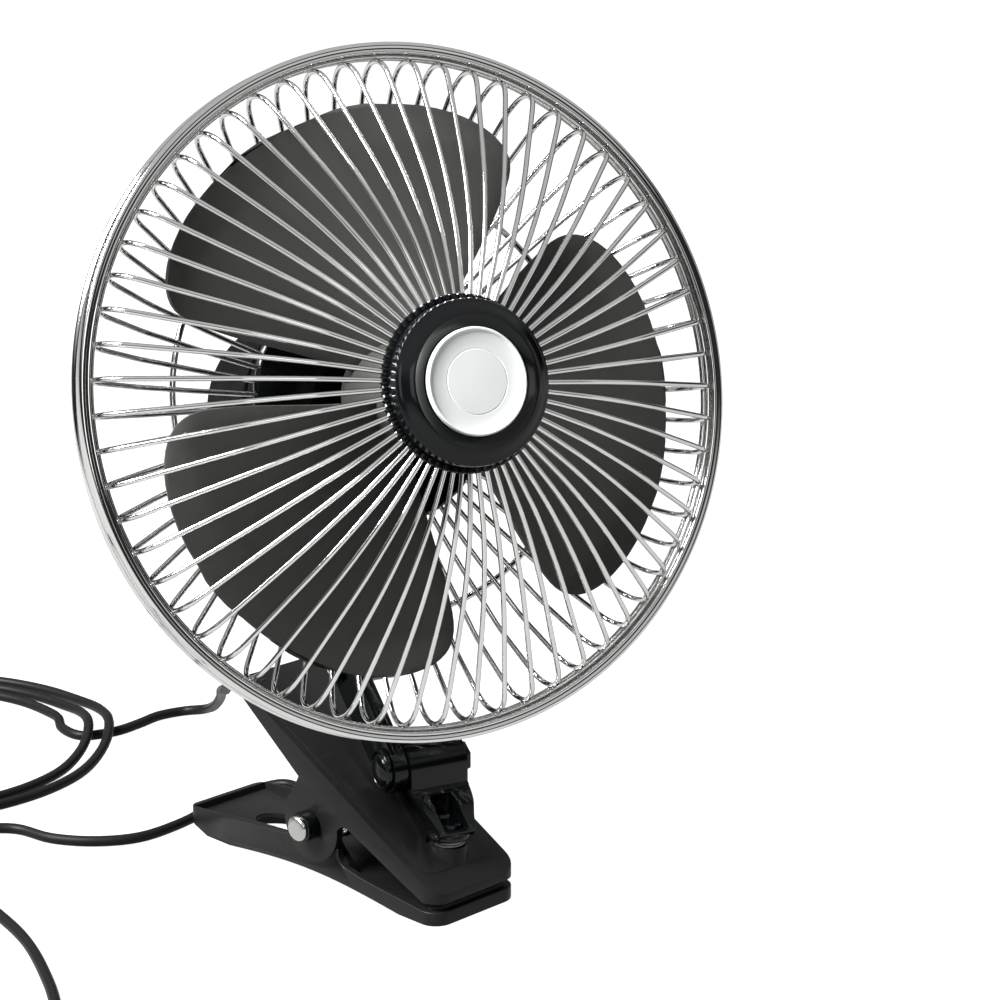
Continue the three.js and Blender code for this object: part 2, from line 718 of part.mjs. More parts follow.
function housingRear() {
  const from = SEAM_H - SEAM;
  const round = arc(HOUSING_R - HOUSING_ROUND, -HOUSING_BACK_H - HOUSING_ROUND, HOUSING_ROUND, 0, 90, 4);
  const inner = arc(
    HOUSING_R - HOUSING_ROUND, -HOUSING_BACK_H - HOUSING_ROUND, HOUSING_ROUND - HOUSING_WALL, 90, 0, 4);
  const shell = turned(
    [
      [HOUSING_R, from],
      ...round.map(([r, back]) => [r, -back]),
      [0, HOUSING_BACK_H],
      [0, HOUSING_BACK_H + HOUSING_WALL],
      ...inner.map(([r, back]) => [r, -back]),
      [HOUSING_R - HOUSING_WALL, from],
    ],
    WIDE,
  );
  const back = -HOUSING_BACK_H;
  const stub = turned(
    [
      [MOTOR_R + GAP + 2, MOTOR_BACK_H + 6],
      [MOTOR_R + GAP + 2, HOUSING_BACK_H + 1],
      [MOTOR_R + GAP, HOUSING_BACK_H + 1],
      [MOTOR_R + GAP, MOTOR_BACK_H + 6],
    ],
    WIDE,
  );
  const width = SWITCH_WIDTH / 2 + GAP;
  const height = SWITCH_HEIGHT / 2 + GAP;
  return cut(join(shell, stub), box([-width, back - 9, -height], [width, back + 2, height]));
}

const motorCan = () =>
  turned(
    [
      [SHAFT_R + 2 * FIT, MOTOR_FRONT_H + 3],
      [5.5, MOTOR_FRONT_H + 3],
      [5.5, MOTOR_FRONT_H],
      [MOTOR_R, MOTOR_FRONT_H],
      [MOTOR_R, MOTOR_BACK_H],
      [MOTOR_R - 2, MOTOR_BACK_H],
      [MOTOR_R - 2, MOTOR_BACK_H + 24],
      [SHAFT_R + 2 * FIT, MOTOR_BACK_H + 24],
    ],
    WIDE,
  );

function neck() {
  const top = HOUSING_R - NECK_SHOULDER;
  const shoulder = HOUSING_R + NECK_SHOULDER;
  const outline = [
    ...arc(BOLT_BEHIND, -BOLT_BELOW, NECK_LUG_R, 180, 360, 10),
    [-NECK_BACK_H, -shoulder],
    [-NECK_BACK_H, -top],
    [-NECK_FRONT_H, -top],
    [-NECK_FRONT_H, -shoulder],
  ];
  return cut(
    slab(outline, -NECK_HALF, NECK_HALF),
    alongAxis(HOUSING_FRONT_H, HOUSING_BACK_H, HOUSING_R + GAP, WIDE),
    bar("x", -2 * NECK_HALF, 2 * NECK_HALF, BOLT_R + FIT, BOLT_BEHIND, -BOLT_BELOW, BORE),
    bar("z", -BOLT_BELOW, -HOUSING_R / 2, SCREW_R + FIT, 0, -SEAM_H - NECK_SHOULDER, BORE),
  );
}

function switchFrame() {
  const back = -HOUSING_BACK_H;
  const width = SWITCH_WIDTH / 2;
  const height = SWITCH_HEIGHT / 2;
  return cut(
    join(
      box([-width, back - 8, -height], [width, back + GAP, height]),
      box([-width - 1.5, back + GAP, -height - 1.5], [width + 1.5, back + 1.6, height + 1.5]),
    ),
    box([-width + 1.5, back - 6, -height + 1.5], [width - 1.5, back + 2, height - 1.5]),
  );
}

// The rocker turns about X in its frame; at rest its lower end is pressed in.
function rocker() {
  const half = SWITCH_HEIGHT / 2 - 2.3;
  const outline = [
    [-3, -half],
    [1.2, -half],
    [0.2, 0],
    [1.2, half],
    [-3, half],
    [-4.6, 0],
  ];
  return slab(outline, -SWITCH_WIDTH / 2 + 2, SWITCH_WIDTH / 2 - 2);
}

function screw(x, z) {
  const head = -PLATE_H - GAP;
  return join(bar("y", head - 1.4, head, SCREW_HEAD_R, x, z, BORE), bar("y", head - 0.2, 37, SCREW_R, x, z, BORE));
}

// ---------------------------------------------------------------- the cord

// The coil's turns run outward and rise where a strand passes under them.
function coilPoints() {
  const sweep = COIL_LOOPS * 2 * Math.PI + (COIL_END - COIL_START - 2 * Math.PI);
  const steps = Math.round((sweep / (2 * Math.PI)) * LOOP_STEPS);
  return Array.from({ length: steps + 1 }, (_, i) => {
    const angle = COIL_START + (sweep * i) / steps;
    const r = COIL_OUTER_R - (COIL_PITCH * (sweep * (1 - i / steps))) / (2 * Math.PI);
    const off = Math.atan2(Math.sin(angle - HUMP_AT), Math.cos(angle - HUMP_AT)) / HUMP_SPREAD;
    const first = i < LOOP_STEPS / 3 ? 0 : 1;
    const z = CORD_Z + first * HUMP * Math.exp(-off * off);
    return [COIL_CENTRE[0] + r * Math.cos(angle), COIL_CENTRE[1] + r * Math.sin(angle), z];
  });
}

function leastGap(points, apart, d) {
  let least = Infinity;
  points.forEach((p, i) => {
    for (let j = i + apart; j < points.length; j += 1) {
      const q = points[j];
      least = Math.min(least, Math.hypot(p[0] - q[0], p[1] - q[1], p[2] - q[2]) - d);
    }
  });
  return least;
}

// The strand from the clip's handle to the coil.
function leadPoints(coil) {
  const [x, y, z] = coil[0];
  return [
    EXIT,
    [EXIT[0], EXIT[1] + 5, EXIT[2] - 0.6],
    [-7, EXIT[1] + 13, 50.4],
    [2, 105, 43.5],
    [22, 131, 32],
    [41, 154, 19.5],
    [53, 172, 9],
    [58, 184, 3.6],
    [55.5, 191.5, CORD_Z],
    [46, 194, CORD_Z],
    [35, 192.5, CORD_Z],
    [24, 192, CORD_Z],
    [13, 197, CORD_Z],
    [13, 208, CORD_Z],
    [x - 1.6, y - 8, CORD_Z],
    [x - 0.1, y - GAP - 0.1, z],
  ];
}

// The strand from the coil, round a wide bend and back behind the clip to the plug.
function tailPoints(coil) {
  const [x, y, z] = coil[coil.length - 1];
  return [
    [x - 0.1, y - GAP - 0.5, z],
    [x - 0.5, y - 10, CORD_Z],
    [-112, 190, CORD_Z],
    [-101, 155, CORD_Z],
    [-99, 120, CORD_Z],
    [-106, 82, CORD_Z],
    [-112, 63, CORD_Z],
    [-123, 40, CORD_Z],
    [-131, 26, CORD_Z],
    [-145, 6, CORD_Z],
    [-164, 2, CORD_Z],
    [-180, 18, CORD_Z],
    [-182, 50, CORD_Z],
    [-166, 90, CORD_Z],
    [-138, 122, CORD_Z + 0.6],
    [-113, 139, CORD_Z + HUMP],
    [-98, 146, CORD_Z + HUMP + 0.4],
    [-83, 150, CORD_Z + HUMP],
    [-68, 148, CORD_Z + 1],
    [-58, 141, CORD_Z],
    [-55, 126, CORD_Z],
    [-47, 114, CORD_Z],
    [-35, 106.5, CORD_Z],
    [-17, 106.5, CORD_Z],
    [2, 110.5, CORD_Z + 0.3],
    [18, 110, CORD_Z + 1.2],
    [PLUG_X - 0.6, 104, PLUG_R],
    [PLUG_X, PLUG_Y + RELIEF_LENGTH + GAP, PLUG_R + 0.1],
  ];
}

function lengthOf(points) {
  return points.slice(1).reduce((sum, p, i) => sum + Math.hypot(...p.map((v, k) => v - points[i][k])), 0);
}

// ---------------------------------------------------------------- the scene

const material = (color, roughness, metalness = 0) =>
  new THREE.MeshStandardMaterial({ color, roughness, metalness });
const looks = {
  clip: material("#3e3e3d", 0.5),
  black: material("#121315", 0.3),
  chrome: material("#e4e4e4", 0.12, 1),
  steel: material("#b9b9b6", 0.3, 1),
  blade: material("#474745", 0.45),
  disc: material("#cfd2d0", 0.35, 0.6),
  housing: material("#7a7a78", 0.5),
  rubber: material("#1c1c1c", 0.8),
  cord: material("#191919", 0.5),
};

function add(group, name, look, solid) {
  const mesh = solid.getMesh();
  const width = mesh.numProp;
  const position = new Float32Array(mesh.numVert * 3);
  for (let i = 0; i < mesh.numVert; i += 1)
    position.set(mesh.vertProperties.subarray(i * width, i * width + 3), i * 3);
  const geometry = new THREE.BufferGeometry();
  geometry.setAttribute("position", new THREE.BufferAttribute(position, 3));
  geometry.setIndex(new THREE.BufferAttribute(new Uint32Array(mesh.triVerts), 1));
  geometry.computeVertexNormals();
  const piece = new THREE.Mesh(geometry, looks[look]);
  piece.name = name;
  group.add(piece);
  return piece;
}

const fan = new THREE.Group();
const swivel = new THREE.Group();
swivel.rotation.z = PAN;
const link = new THREE.Group();
link.position.set(0, LOWER_BOLT_Y, LOWER_BOLT_Z);
link.rotation.x = LINK_LEAN;
const head = new THREE.Group();
head.position.set(0, LINK_LENGTH, 0);
head.rotation.x = -LINK_LEAN - TILT;
const cage = new THREE.Group();
cage.position.set(0, -BOLT_BEHIND, BOLT_BELOW);
fan.add(swivel);
swivel.add(link);
link.add(head);
head.add(cage);

function addClip() {
  const left = -HALF - GAP;
  const right = HALF + GAP;
  const capSeat = left - COLLAR_LENGTH - 0.1;
  const pin = [PIVOT_Y, PIVOT_Z];
  add(fan, "lower_jaw", "clip", lowerJaw());
  add(fan, "upper_jaw", "clip", upperJaw());
  add(fan, "lower_pad", "rubber", jawPad(FLOOR_Z));
  add(fan, "upper_pad", "rubber", jawPad(UPPER_FACE_Z - PAD));
  add(fan, "torsion_spring", "steel", tube(springWire(), SPRING_WIRE / 2, 5, springWire().length + 5));
  add(
    fan,
    "pivot_bolt",
    "steel",
    join(
      bar("x", capSeat - CAP_LENGTH, capSeat, CAP_R, ...pin),
      bar("x", capSeat - 0.5, right + 1 + NUT_LENGTH + 1, PIN_R, ...pin, BORE),
    ),
  );
  add(fan, "pivot_collar", "black", washer("x", left - COLLAR_LENGTH, left, COLLAR_R, PIN_R + FIT, ...pin));
  add(fan, "pivot_washer", "steel", washer("x", right, right + 0.9, COLLAR_R, PIN_R + FIT, ...pin));
  add(fan, "pivot_nut", "steel", nut("x", right + 1, right + 1 + NUT_LENGTH, NUT_R, PIN_R + FIT, ...pin));
}

function addSwivel() {
  const pocketZ = BOSS_Z - 6;
  const nutTop = pocketZ - 0.2;
  add(swivel, "swivel_washer_lower", "steel", washer("z", BOSS_Z + 0.1, BOSS_Z + 0.1 + WASHER, WASHER_R, STUD_R + FIT));
  add(swivel, "swivel_washer_upper", "steel", washer("z", BOSS_Z + 1.05, BOSS_Z + 1.05 + WASHER, WASHER_R, STUD_R + FIT));
  const studHead = FLANGE_Z + FLANGE + GAP;
  add(
    swivel,
    "swivel_stud",
    "steel",
    join(
      bar("z", nutTop - NUT_LENGTH - 1, studHead + 0.5, STUD_R, 0, 0, BORE),
      bar("z", studHead, studHead + 1.8, STUD_R + 1.6, 0, 0, 6),
    ),
  );
  add(swivel, "swivel_nut", "steel", nut("z", nutTop - NUT_LENGTH, nutTop, NUT_R, STUD_R + FIT));
  add(swivel, "knuckle", "black", knuckle());
  const nutStart = KNUCKLE_RIGHT + GAP;
  const lower = [LOWER_BOLT_Y, LOWER_BOLT_Z];
  add(swivel, "lower_bolt", "black", hingeBolt(nutStart + NUT_LENGTH + 0.8, ...lower));
  add(swivel, "lower_bolt_nut", "steel", nut("x", nutStart, nutStart + NUT_LENGTH, BOLT_NUT_R, BOLT_R + FIT, ...lower));
  add(link, "link", "black", linkBar());
  const upperStart = NECK_HALF + GAP;
  add(head, "upper_bolt", "black", hingeBolt(upperStart + NUT_LENGTH + 0.8, 0, 0));
  add(head, "upper_bolt_nut", "steel", nut("x", upperStart, upperStart + NUT_LENGTH, BOLT_NUT_R, BOLT_R + FIT));
}

function addCage() {
  add(cage, "rim_band", "chrome", rimBand());
  add(cage, "front_guard", "chrome", guard(GUARD_FRONT, ringWire(RING_R, RING_H, ...RING_WIRE)));
  add(cage, "rear_guard", "chrome", guard(GUARD_REAR, ringWire(RING_R, -RING_H, ...RING_WIRE)));
  add(cage, "rear_ring", "chrome", ringWire(MID_RING_R, MID_RING_H, SPOKE_HALF, SPOKE_HALF));
  add(cage, "hub_ring", "black", hubRing());
  add(cage, "badge_disc", "disc", badgeDisc());
  add(cage, "guard_plate", "black", guardPlate());
  screwPlaces().forEach(([x, z], i) => add(cage, "guard_screw_" + (i + 1), "steel", screw(x, z)));
}

function addMotor() {
  add(cage, "impeller", "blade", impeller());
  add(cage, "spinner", "black", spinner());
  add(cage, "motor_shaft", "steel", alongAxis(ROTOR_HUB_FRONT + SPINNER - 1.6 - GAP, MOTOR_BACK_H + 26, SHAFT_R, BORE));
  add(cage, "motor_can", "steel", motorCan());
  add(cage, "housing_front", "housing", housingFront());
  add(cage, "seam_ring", "black", seamRing());
  add(cage, "housing_rear", "housing", housingRear());
  add(cage, "neck", "black", neck());
  add(cage, "switch_frame", "black", switchFrame());
  const lever = new THREE.Group();
  lever.position.set(0, -HOUSING_BACK_H + 1.4, 0);
  lever.rotation.x = ROCKER_TILT;
  cage.add(lever);
  add(lever, "switch_rocker", "rubber", rocker());
}

function addCord() {
  const coil = coilPoints();
  const lead = leadPoints(coil);
  const tail = tailPoints(coil);
  const seat = EXIT[1] - GAP;
  add(fan, "cord_lead", "cord", tube(lead, CORD_R, 8, 26));
  add(fan, "cord_coil", "cord", tube(coil, CORD_R, 6, coil.length));
  add(fan, "cord_tail", "cord", tube(tail, CORD_R, 8, 52));
  add(
    fan,
    "cord_relief",
    "rubber",
    washer("y", seat - RELIEF_LENGTH, seat, RELIEF_R, CORD_R + FIT, EXIT[0], EXIT[2]),
  );
  const z = PLUG_R + 0.1;
  add(
    fan,
    "plug_body",
    "black",
    cut(
      join(
        bar("y", PLUG_Y - PLUG_BODY, PLUG_Y, PLUG_R, PLUG_X, z, SMALL),
        bar("y", PLUG_Y - 1, PLUG_Y + RELIEF_LENGTH, RELIEF_R, PLUG_X, z, BORE),
      ),
      bar("y", PLUG_Y - PLUG_BODY - 1, PLUG_Y - PLUG_BODY + 6, BARREL_R + GAP, PLUG_X, z, BORE),
    ),
  );
  const front = PLUG_Y - PLUG_BODY;
  add(fan, "plug_barrel", "steel", washer("y", front - BARREL, front + 5.6, BARREL_R, 1.5, PLUG_X, z));
  const gap = Math.min(leastGap(coil, LOOP_STEPS / 2, 2 * CORD_R), leastGap(springWire(), CURL_STEPS / 2, SPRING_WIRE));
  console.log("least gap in the coil and the spring", gap.toFixed(2), "mm");
  console.log("cord", Math.round(lengthOf(lead) + lengthOf(coil) + lengthOf(tail)), "mm");
}

addClip();
addSwivel();
addCage();
addMotor();
addCord();

export default fan;
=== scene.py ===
# The clip-on fan's visible model: wire guard, rotor, motor housing, hinged neck, sprung clip and
# cord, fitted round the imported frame. Objects are in metres, in the frame's axes. Outlines and
# profiles are written in millimetres. The head's pieces are modelled in the head's own axes (X to
# its right, -Y forward along the rotor's axis, Z up) and then carried to their place.
import json
import math

import bpy
from bpy.props import FloatProperty, FloatVectorProperty, IntProperty, PointerProperty
from mathutils import Matrix, Vector


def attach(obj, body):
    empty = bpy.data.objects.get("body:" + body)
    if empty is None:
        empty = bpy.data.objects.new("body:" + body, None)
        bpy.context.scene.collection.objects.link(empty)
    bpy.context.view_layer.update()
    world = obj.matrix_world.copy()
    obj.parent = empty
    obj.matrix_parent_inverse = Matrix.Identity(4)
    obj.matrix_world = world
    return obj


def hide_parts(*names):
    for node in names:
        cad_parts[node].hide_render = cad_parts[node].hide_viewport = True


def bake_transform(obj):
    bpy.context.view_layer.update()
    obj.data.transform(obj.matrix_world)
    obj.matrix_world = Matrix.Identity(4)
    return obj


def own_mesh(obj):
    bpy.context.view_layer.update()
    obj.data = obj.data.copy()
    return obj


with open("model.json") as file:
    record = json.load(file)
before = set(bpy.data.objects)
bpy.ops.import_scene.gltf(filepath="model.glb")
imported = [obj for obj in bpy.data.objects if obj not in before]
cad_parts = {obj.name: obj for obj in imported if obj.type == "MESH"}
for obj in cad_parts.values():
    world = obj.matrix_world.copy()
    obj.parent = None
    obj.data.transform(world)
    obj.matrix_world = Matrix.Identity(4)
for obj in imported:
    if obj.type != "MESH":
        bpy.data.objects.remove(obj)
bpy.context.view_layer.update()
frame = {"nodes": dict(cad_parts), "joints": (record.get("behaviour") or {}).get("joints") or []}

bl_info = {
    "name": "Clip-on fan",
    "version": (1, 0, 0),
    "blender": (4, 5, 0),
    "location": "View3D > Sidebar > Clip fan",
    "description": "Builds the guard, rotor, housing, neck, clip and cord of a clip-on fan",
    "category": "Object",
}

MM = 0.001
TAU = 2 * math.pi


def joint(name):
    return next(j for j in frame["joints"] if j["name"] == name)


def axes(origin, x, y):
    """A frame with its X along x and its Y nearest to y."""
    x = Vector(x).normalized()
    z = x.cross(Vector(y)).normalized()
    turn = Matrix((x, z.cross(x), z)).transposed().to_4x4()
    return Matrix.Translation(Vector(origin)) @ turn


SIDE = Vector(joint("link_lean")["axis"])
FORWARD = Vector(joint("rotor_spin")["axis"])
LOWER_BOLT = Vector(joint("link_lean")["pos_m"])
UPPER_BOLT = Vector(joint("head_tilt")["pos_m"])
PIVOT = Vector(joint("jaw_open")["pos_m"])
STUD_RADIUS = 2.5  # of the swivel's screw, in millimetres
HEAD = axes(joint("rotor_spin")["pos_m"], SIDE, -FORWARD)
SWIVEL = axes((0, 0, 0), SIDE, Vector((0, 0, 1)).cross(SIDE))
CLIP = Matrix.Identity(4)  # the clip is modelled in the frame's own axes


# ---------------------------------------------------------- sizes and colours


def length(name, description, default):
    return FloatProperty(
        name=name, description=description, default=default, min=0.0, unit="LENGTH")


def colour(name, description, default):
    return FloatVectorProperty(
        name=name, description=description, default=default, size=3, min=0.0, max=1.0,
        subtype="COLOR")


class FanSizes(bpy.types.PropertyGroup):
    """The sizes of the pieces that a user would change."""

    wire: length("Guard wire", "Diameter of a guard wire", 1.65 * MM)
    ring_wire: length("Ring wire", "Diameter of the two ring wires in the rim", 2.1 * MM)
    ring_radius: length("Ring radius", "Radius of the ring wires", 101 * MM)
    bend_radius: length("Wire bend", "Radius of each wire's bend at the rim", 11 * MM)
    spokes: IntProperty(name="Wires", description="Wires round the guard", default=61, min=3)
    blades: IntProperty(name="Blades", description="Blades of the rotor", default=3, min=2)
    blade_tip: length("Blade tip", "Radius of the blades' tips", 86.5 * MM)
    blade_rise: length("Blade rise", "How far a blade's edges stand ahead and behind", 9.5 * MM)
    blade_thickness: length("Blade thickness", "Thickness of a blade", 1.7 * MM)
    housing_radius: length("Housing radius", "Radius of the motor housing", 31.5 * MM)
    cord: length("Cord", "Diameter of the cord", 3.5 * MM)


class FanColours(bpy.types.PropertyGroup):
    """The colours of the finishes."""

    clip: colour("Clip", "Moulded plastic of the clip", (0.0065, 0.0065, 0.0063))
    black: colour("Black", "Gloss black plastic", (0.0022, 0.003, 0.0034))
    chrome: colour("Chrome", "Plated wire", (0.68, 0.68, 0.67))
    steel: colour("Steel", "Zinc plated hardware", (0.52, 0.52, 0.5))
    blade: colour("Blade", "Blade plastic", (0.056, 0.056, 0.053))
    disc: colour("Disc", "Silvered centre disc", (0.86, 0.88, 0.88))
    housing: colour("Housing", "Motor housing plastic", (0.0025, 0.0025, 0.0025))
    rubber: colour("Rubber", "Soft rubber", (0.02, 0.02, 0.02))
    cord: colour("Cord", "Cord jacket", (0.006, 0.006, 0.0065))
    floor: colour("Floor", "Pale floor", (0.12, 0.12, 0.12))


# ---------------------------------------------------------- finishes


def node_group(name, inputs, outputs):
    """An empty shader group: its inputs by name, kind and value, and its outputs by name."""
    tree = bpy.data.node_groups.new(name, "ShaderNodeTree")
    for label, kind, value in inputs:
        socket = tree.interface.new_socket(label, in_out="INPUT", socket_type=kind)
        if value is not None:
            socket.default_value = value
    for label in outputs:
        tree.interface.new_socket(label, in_out="OUTPUT", socket_type="NodeSocketFloat")
    return tree, tree.nodes.new("NodeGroupInput"), tree.nodes.new("NodeGroupOutput")


def shader_node(tree, kind, inputs=None, **settings):
    """A new node with its settings, and then the values of its inputs."""
    made = tree.nodes.new(kind)
    for key, value in settings.items():
        setattr(made, key, value)
    for key, value in (inputs or {}).items():
        made.inputs[key].default_value = value
    return made


def connect(tree, *rows):
    """Links a node's output to another's input for each row."""
    for source, output, target, socket in rows:
        tree.links.new(source.outputs[output], target.inputs[socket])


def make_grain():
    """Moulded grain: a fine height and a broad tone."""
    tree, start, end = node_group(
        "Moulded grain",
        [("Place", "NodeSocketVector", None), ("Grain size", "NodeSocketFloat", 900.0),
         ("Tone size", "NodeSocketFloat", 30.0)],
        ["Height", "Tone"])
    fine = shader_node(tree, "ShaderNodeTexNoise", {"Detail": 2.0})
    broad = shader_node(tree, "ShaderNodeTexNoise", {"Detail": 4.0, "Roughness": 0.6})
    connect(
        tree,
        (start, "Place", fine, "Vector"), (start, "Place", broad, "Vector"),
        (start, "Grain size", fine, "Scale"), (start, "Tone size", broad, "Scale"),
        (fine, "Fac", end, "Height"), (broad, "Fac", end, "Tone"))


def make_scuffs():
    """Fine handling scratches as a mask, drawn out along one direction and broken up."""
    tree, start, end = node_group(
        "Handling scuffs",
        [("Place", "NodeSocketVector", None), ("Amount", "NodeSocketFloat", 0.3)],
        ["Mask"])
    stretch = shader_node(
        tree, "ShaderNodeMapping",
        {"Scale": (60.0, 900.0, 420.0), "Rotation": (0.4, 0.7, 0.5)})
    lines = shader_node(tree, "ShaderNodeTexNoise", {"Scale": 1.0, "Detail": 3.0})
    patches = shader_node(tree, "ShaderNodeTexNoise", {"Scale": 55.0})
    sharp = shader_node(tree, "ShaderNodeMapRange", {"From Min": 0.62, "From Max": 0.7})
    broken = shader_node(tree, "ShaderNodeMath", operation="MULTIPLY")
    amount = shader_node(tree, "ShaderNodeMath", operation="MULTIPLY")
    connect(
        tree,
        (start, "Place", stretch, "Vector"), (stretch, "Vector", lines, "Vector"),
        (start, "Place", patches, "Vector"), (lines, "Fac", sharp, "Value"),
        (sharp, "Result", broken, 0), (patches, "Fac", broken, 1),
        (broken, "Value", amount, 0), (start, "Amount", amount, 1),
        (amount, "Value", end, "Mask"))


def make_finish(name, shade, roughness, metallic=0.0, grain=900.0, depth=0.02, tone=0.12,
                tone_size=30.0, scuff=0.3, scuff_shade=1.8, gloss=0.5):
    """A finish whose tone, roughness and grain vary over the surface; depth is in millimetres."""
    material = bpy.data.materials.new(name)
    material.use_nodes = True
    tree = material.node_tree
    shader = tree.nodes["Principled BSDF"]
    shader.inputs["Metallic"].default_value = metallic
    shader.inputs["Specular IOR Level"].default_value = gloss
    darker, lighter = [(*[min(1.0, c * (1 + way)) for c in shade], 1) for way in (-tone, tone)]
    scuffed = (*[min(1.0, c * scuff_shade + 0.01 * (1 - metallic)) for c in shade], 1)
    place = shader_node(tree, "ShaderNodeTexCoord")
    surface = shader_node(
        tree, "ShaderNodeGroup", {"Grain size": grain, "Tone size": tone_size},
        node_tree=bpy.data.node_groups["Moulded grain"])
    marks = shader_node(
        tree, "ShaderNodeGroup", {"Amount": scuff},
        node_tree=bpy.data.node_groups["Handling scuffs"])
    mottle = shader_node(tree, "ShaderNodeMix", {"A": darker, "B": lighter}, data_type="RGBA")
    worn = shader_node(tree, "ShaderNodeMix", {"B": scuffed}, data_type="RGBA")
    dull = shader_node(
        tree, "ShaderNodeMapRange",
        {"From Min": 0.3, "From Max": 0.7, "To Min": roughness * 0.82,
         "To Max": min(1.0, roughness * 1.22)})
    rubbed = shader_node(tree, "ShaderNodeMath", {1: 0.25}, operation="MULTIPLY_ADD")
    bump = shader_node(tree, "ShaderNodeBump", {"Strength": 0.6, "Distance": depth * MM})
    connect(
        tree,
        (place, "Object", surface, "Place"), (place, "Object", marks, "Place"),
        (surface, "Tone", mottle, "Factor"), (mottle, "Result", worn, "A"),
        (marks, "Mask", worn, "Factor"), (worn, "Result", shader, "Base Color"),
        (surface, "Tone", dull, "Value"), (marks, "Mask", rubbed, 0),
        (dull, "Result", rubbed, 2), (rubbed, "Value", shader, "Roughness"),
        (surface, "Height", bump, "Height"), (bump, "Normal", shader, "Normal"))


def make_finishes(colours):
    make_grain()
    make_scuffs()
    make_finish("clip plastic", colours.clip, 0.36, grain=1500.0, depth=0.012, tone=0.1,
                gloss=0.17)
    make_finish("gloss black", colours.black, 0.13, grain=500.0, depth=0.003, tone=0.1,
                scuff=0.2, gloss=0.26)
    make_finish("chrome plate", colours.chrome, 0.08, 1.0, grain=400.0, depth=0.003, tone=0.03,
                tone_size=60.0, scuff=0.15, scuff_shade=0.85)
    make_finish("zinc plate", colours.steel, 0.26, 1.0, grain=1800.0, depth=0.008, tone=0.1,
                tone_size=90.0, scuff=0.4, scuff_shade=0.7)
    # The same steel darkened to three tenths, as painted shade for the washers under the swivel's
    # knuckle.
    make_finish("steel in painted shade", [c * 0.3 for c in colours.steel], 0.34, 1.0, grain=1800.0,
                depth=0.008, tone=0.1, tone_size=90.0, scuff=0.4, scuff_shade=1.4)
    make_finish("blade plastic", colours.blade, 0.42, grain=1200.0, depth=0.01, tone=0.06,
                tone_size=14.0, scuff=0.15, gloss=0.07)
    make_finish("silvered disc", colours.disc, 0.34, 0.15, grain=2600.0, depth=0.006, tone=0.03,
                tone_size=40.0, scuff=0.15, scuff_shade=0.8)
    make_finish("housing plastic", colours.housing, 0.4, grain=1100.0, tone=0.16,
                tone_size=55.0, gloss=0.02)
    make_finish("soft rubber", colours.rubber, 0.75, grain=2200.0, depth=0.03, tone=0.2,
                scuff=0.25, gloss=0.3)
    make_finish("cord jacket", colours.cord, 0.42, grain=1300.0, depth=0.01, scuff=0.2,
                gloss=0.1)


# ---------------------------------------------------------- modelling


def deselect():
    bpy.ops.object.select_all(action="DESELECT")


def only(obj):
    deselect()
    obj.select_set(True)
    bpy.context.view_layer.objects.active = obj


def edit(obj):
    """Opens a piece for editing, with all of it selected."""
    only(obj)
    bpy.ops.object.mode_set(mode="EDIT")
    bpy.ops.mesh.select_all(action="SELECT")


def done():
    bpy.ops.object.mode_set(mode="OBJECT")


def named(obj, name):
    obj.name = name
    obj.data.name = name
    return obj


def drawn(name, points, closed=False):
    """A line of edges, extruded point by point from one vertex; a closed one is filled."""
    deselect()
    bpy.ops.mesh.primitive_plane_add(size=MM)
    obj = named(bpy.context.active_object, name)
    bpy.ops.object.mode_set(mode="EDIT")
    bpy.ops.mesh.merge(type="CENTER")
    points = [Vector(p) for p in points]
    bpy.ops.transform.translate(value=points[0])
    for before, after in zip(points, points[1:]):
        bpy.ops.mesh.extrude_region_move(TRANSFORM_OT_translate={"value": after - before})
    if closed:
        done()
        bpy.ops.object.mode_set(mode="EDIT")
        bpy.ops.mesh.select_all(action="DESELECT")
        bpy.ops.object.mode_set(mode="OBJECT")
        obj.data.vertices[0].select = obj.data.vertices[-1].select = True
        bpy.ops.object.mode_set(mode="EDIT")
        bpy.ops.mesh.edge_face_add()
        bpy.ops.mesh.select_all(action="SELECT")
        bpy.ops.mesh.edge_face_add()
    done()
    return obj


def tidy_mesh(obj, merge=2e-6):
    """Merges doubled points and turns the faces outwards."""
    edit(obj)
    bpy.ops.mesh.remove_doubles(threshold=merge)
    bpy.ops.mesh.normals_make_consistent(inside=False)
    done()


def turned(name, profile, steps=96):
    """A profile of (radius, forward) points in millimetres, spun about the Y axis."""
    obj = drawn(name, [(r * MM, -h * MM, 0) for r, h in profile])
    edit(obj)
    bpy.ops.mesh.spin(steps=steps, angle=TAU, center=(0, 0, 0), axis=(0, 1, 0))
    done()
    tidy_mesh(obj)
    return obj


def round_about(obj, count):
    """Copies the whole mesh evenly about the Y axis."""
    edit(obj)
    bpy.ops.mesh.spin(
        steps=count - 1, dupli=True, angle=TAU * (count - 1) / count, center=(0, 0, 0),
        axis=(0, 1, 0))
    done()


def extruded(name, outline, way):
    """A closed outline of points in millimetres, filled and extruded along a way."""
    obj = drawn(name, [(x * MM, y * MM, z * MM) for x, y, z in outline], closed=True)
    edit(obj)
    bpy.ops.mesh.extrude_region_move(
        TRANSFORM_OT_translate={"value": tuple(step * MM for step in way)})
    done()
    tidy_mesh(obj)
    return obj


def slab(name, outline, x0, x1):
    """An outline of (y, z) points in millimetres, extruded along X."""
    return extruded(name, [(x0, y, z) for y, z in outline], (x1 - x0, 0, 0))


def plate(name, outline, z0, z1):
    """An outline of (x, y) points in millimetres, extruded along Z."""
    return extruded(name, [(x, y, z0) for x, y in outline], (0, 0, z1 - z0))


def arc(y, z, r, first, last, steps):
    """Points on a circle about (y, z), from one angle in degrees to another."""
    turns = [math.radians(first + (last - first) * i / steps) for i in range(steps + 1)]
    return [(y + r * math.cos(a), z + r * math.sin(a)) for a in turns]


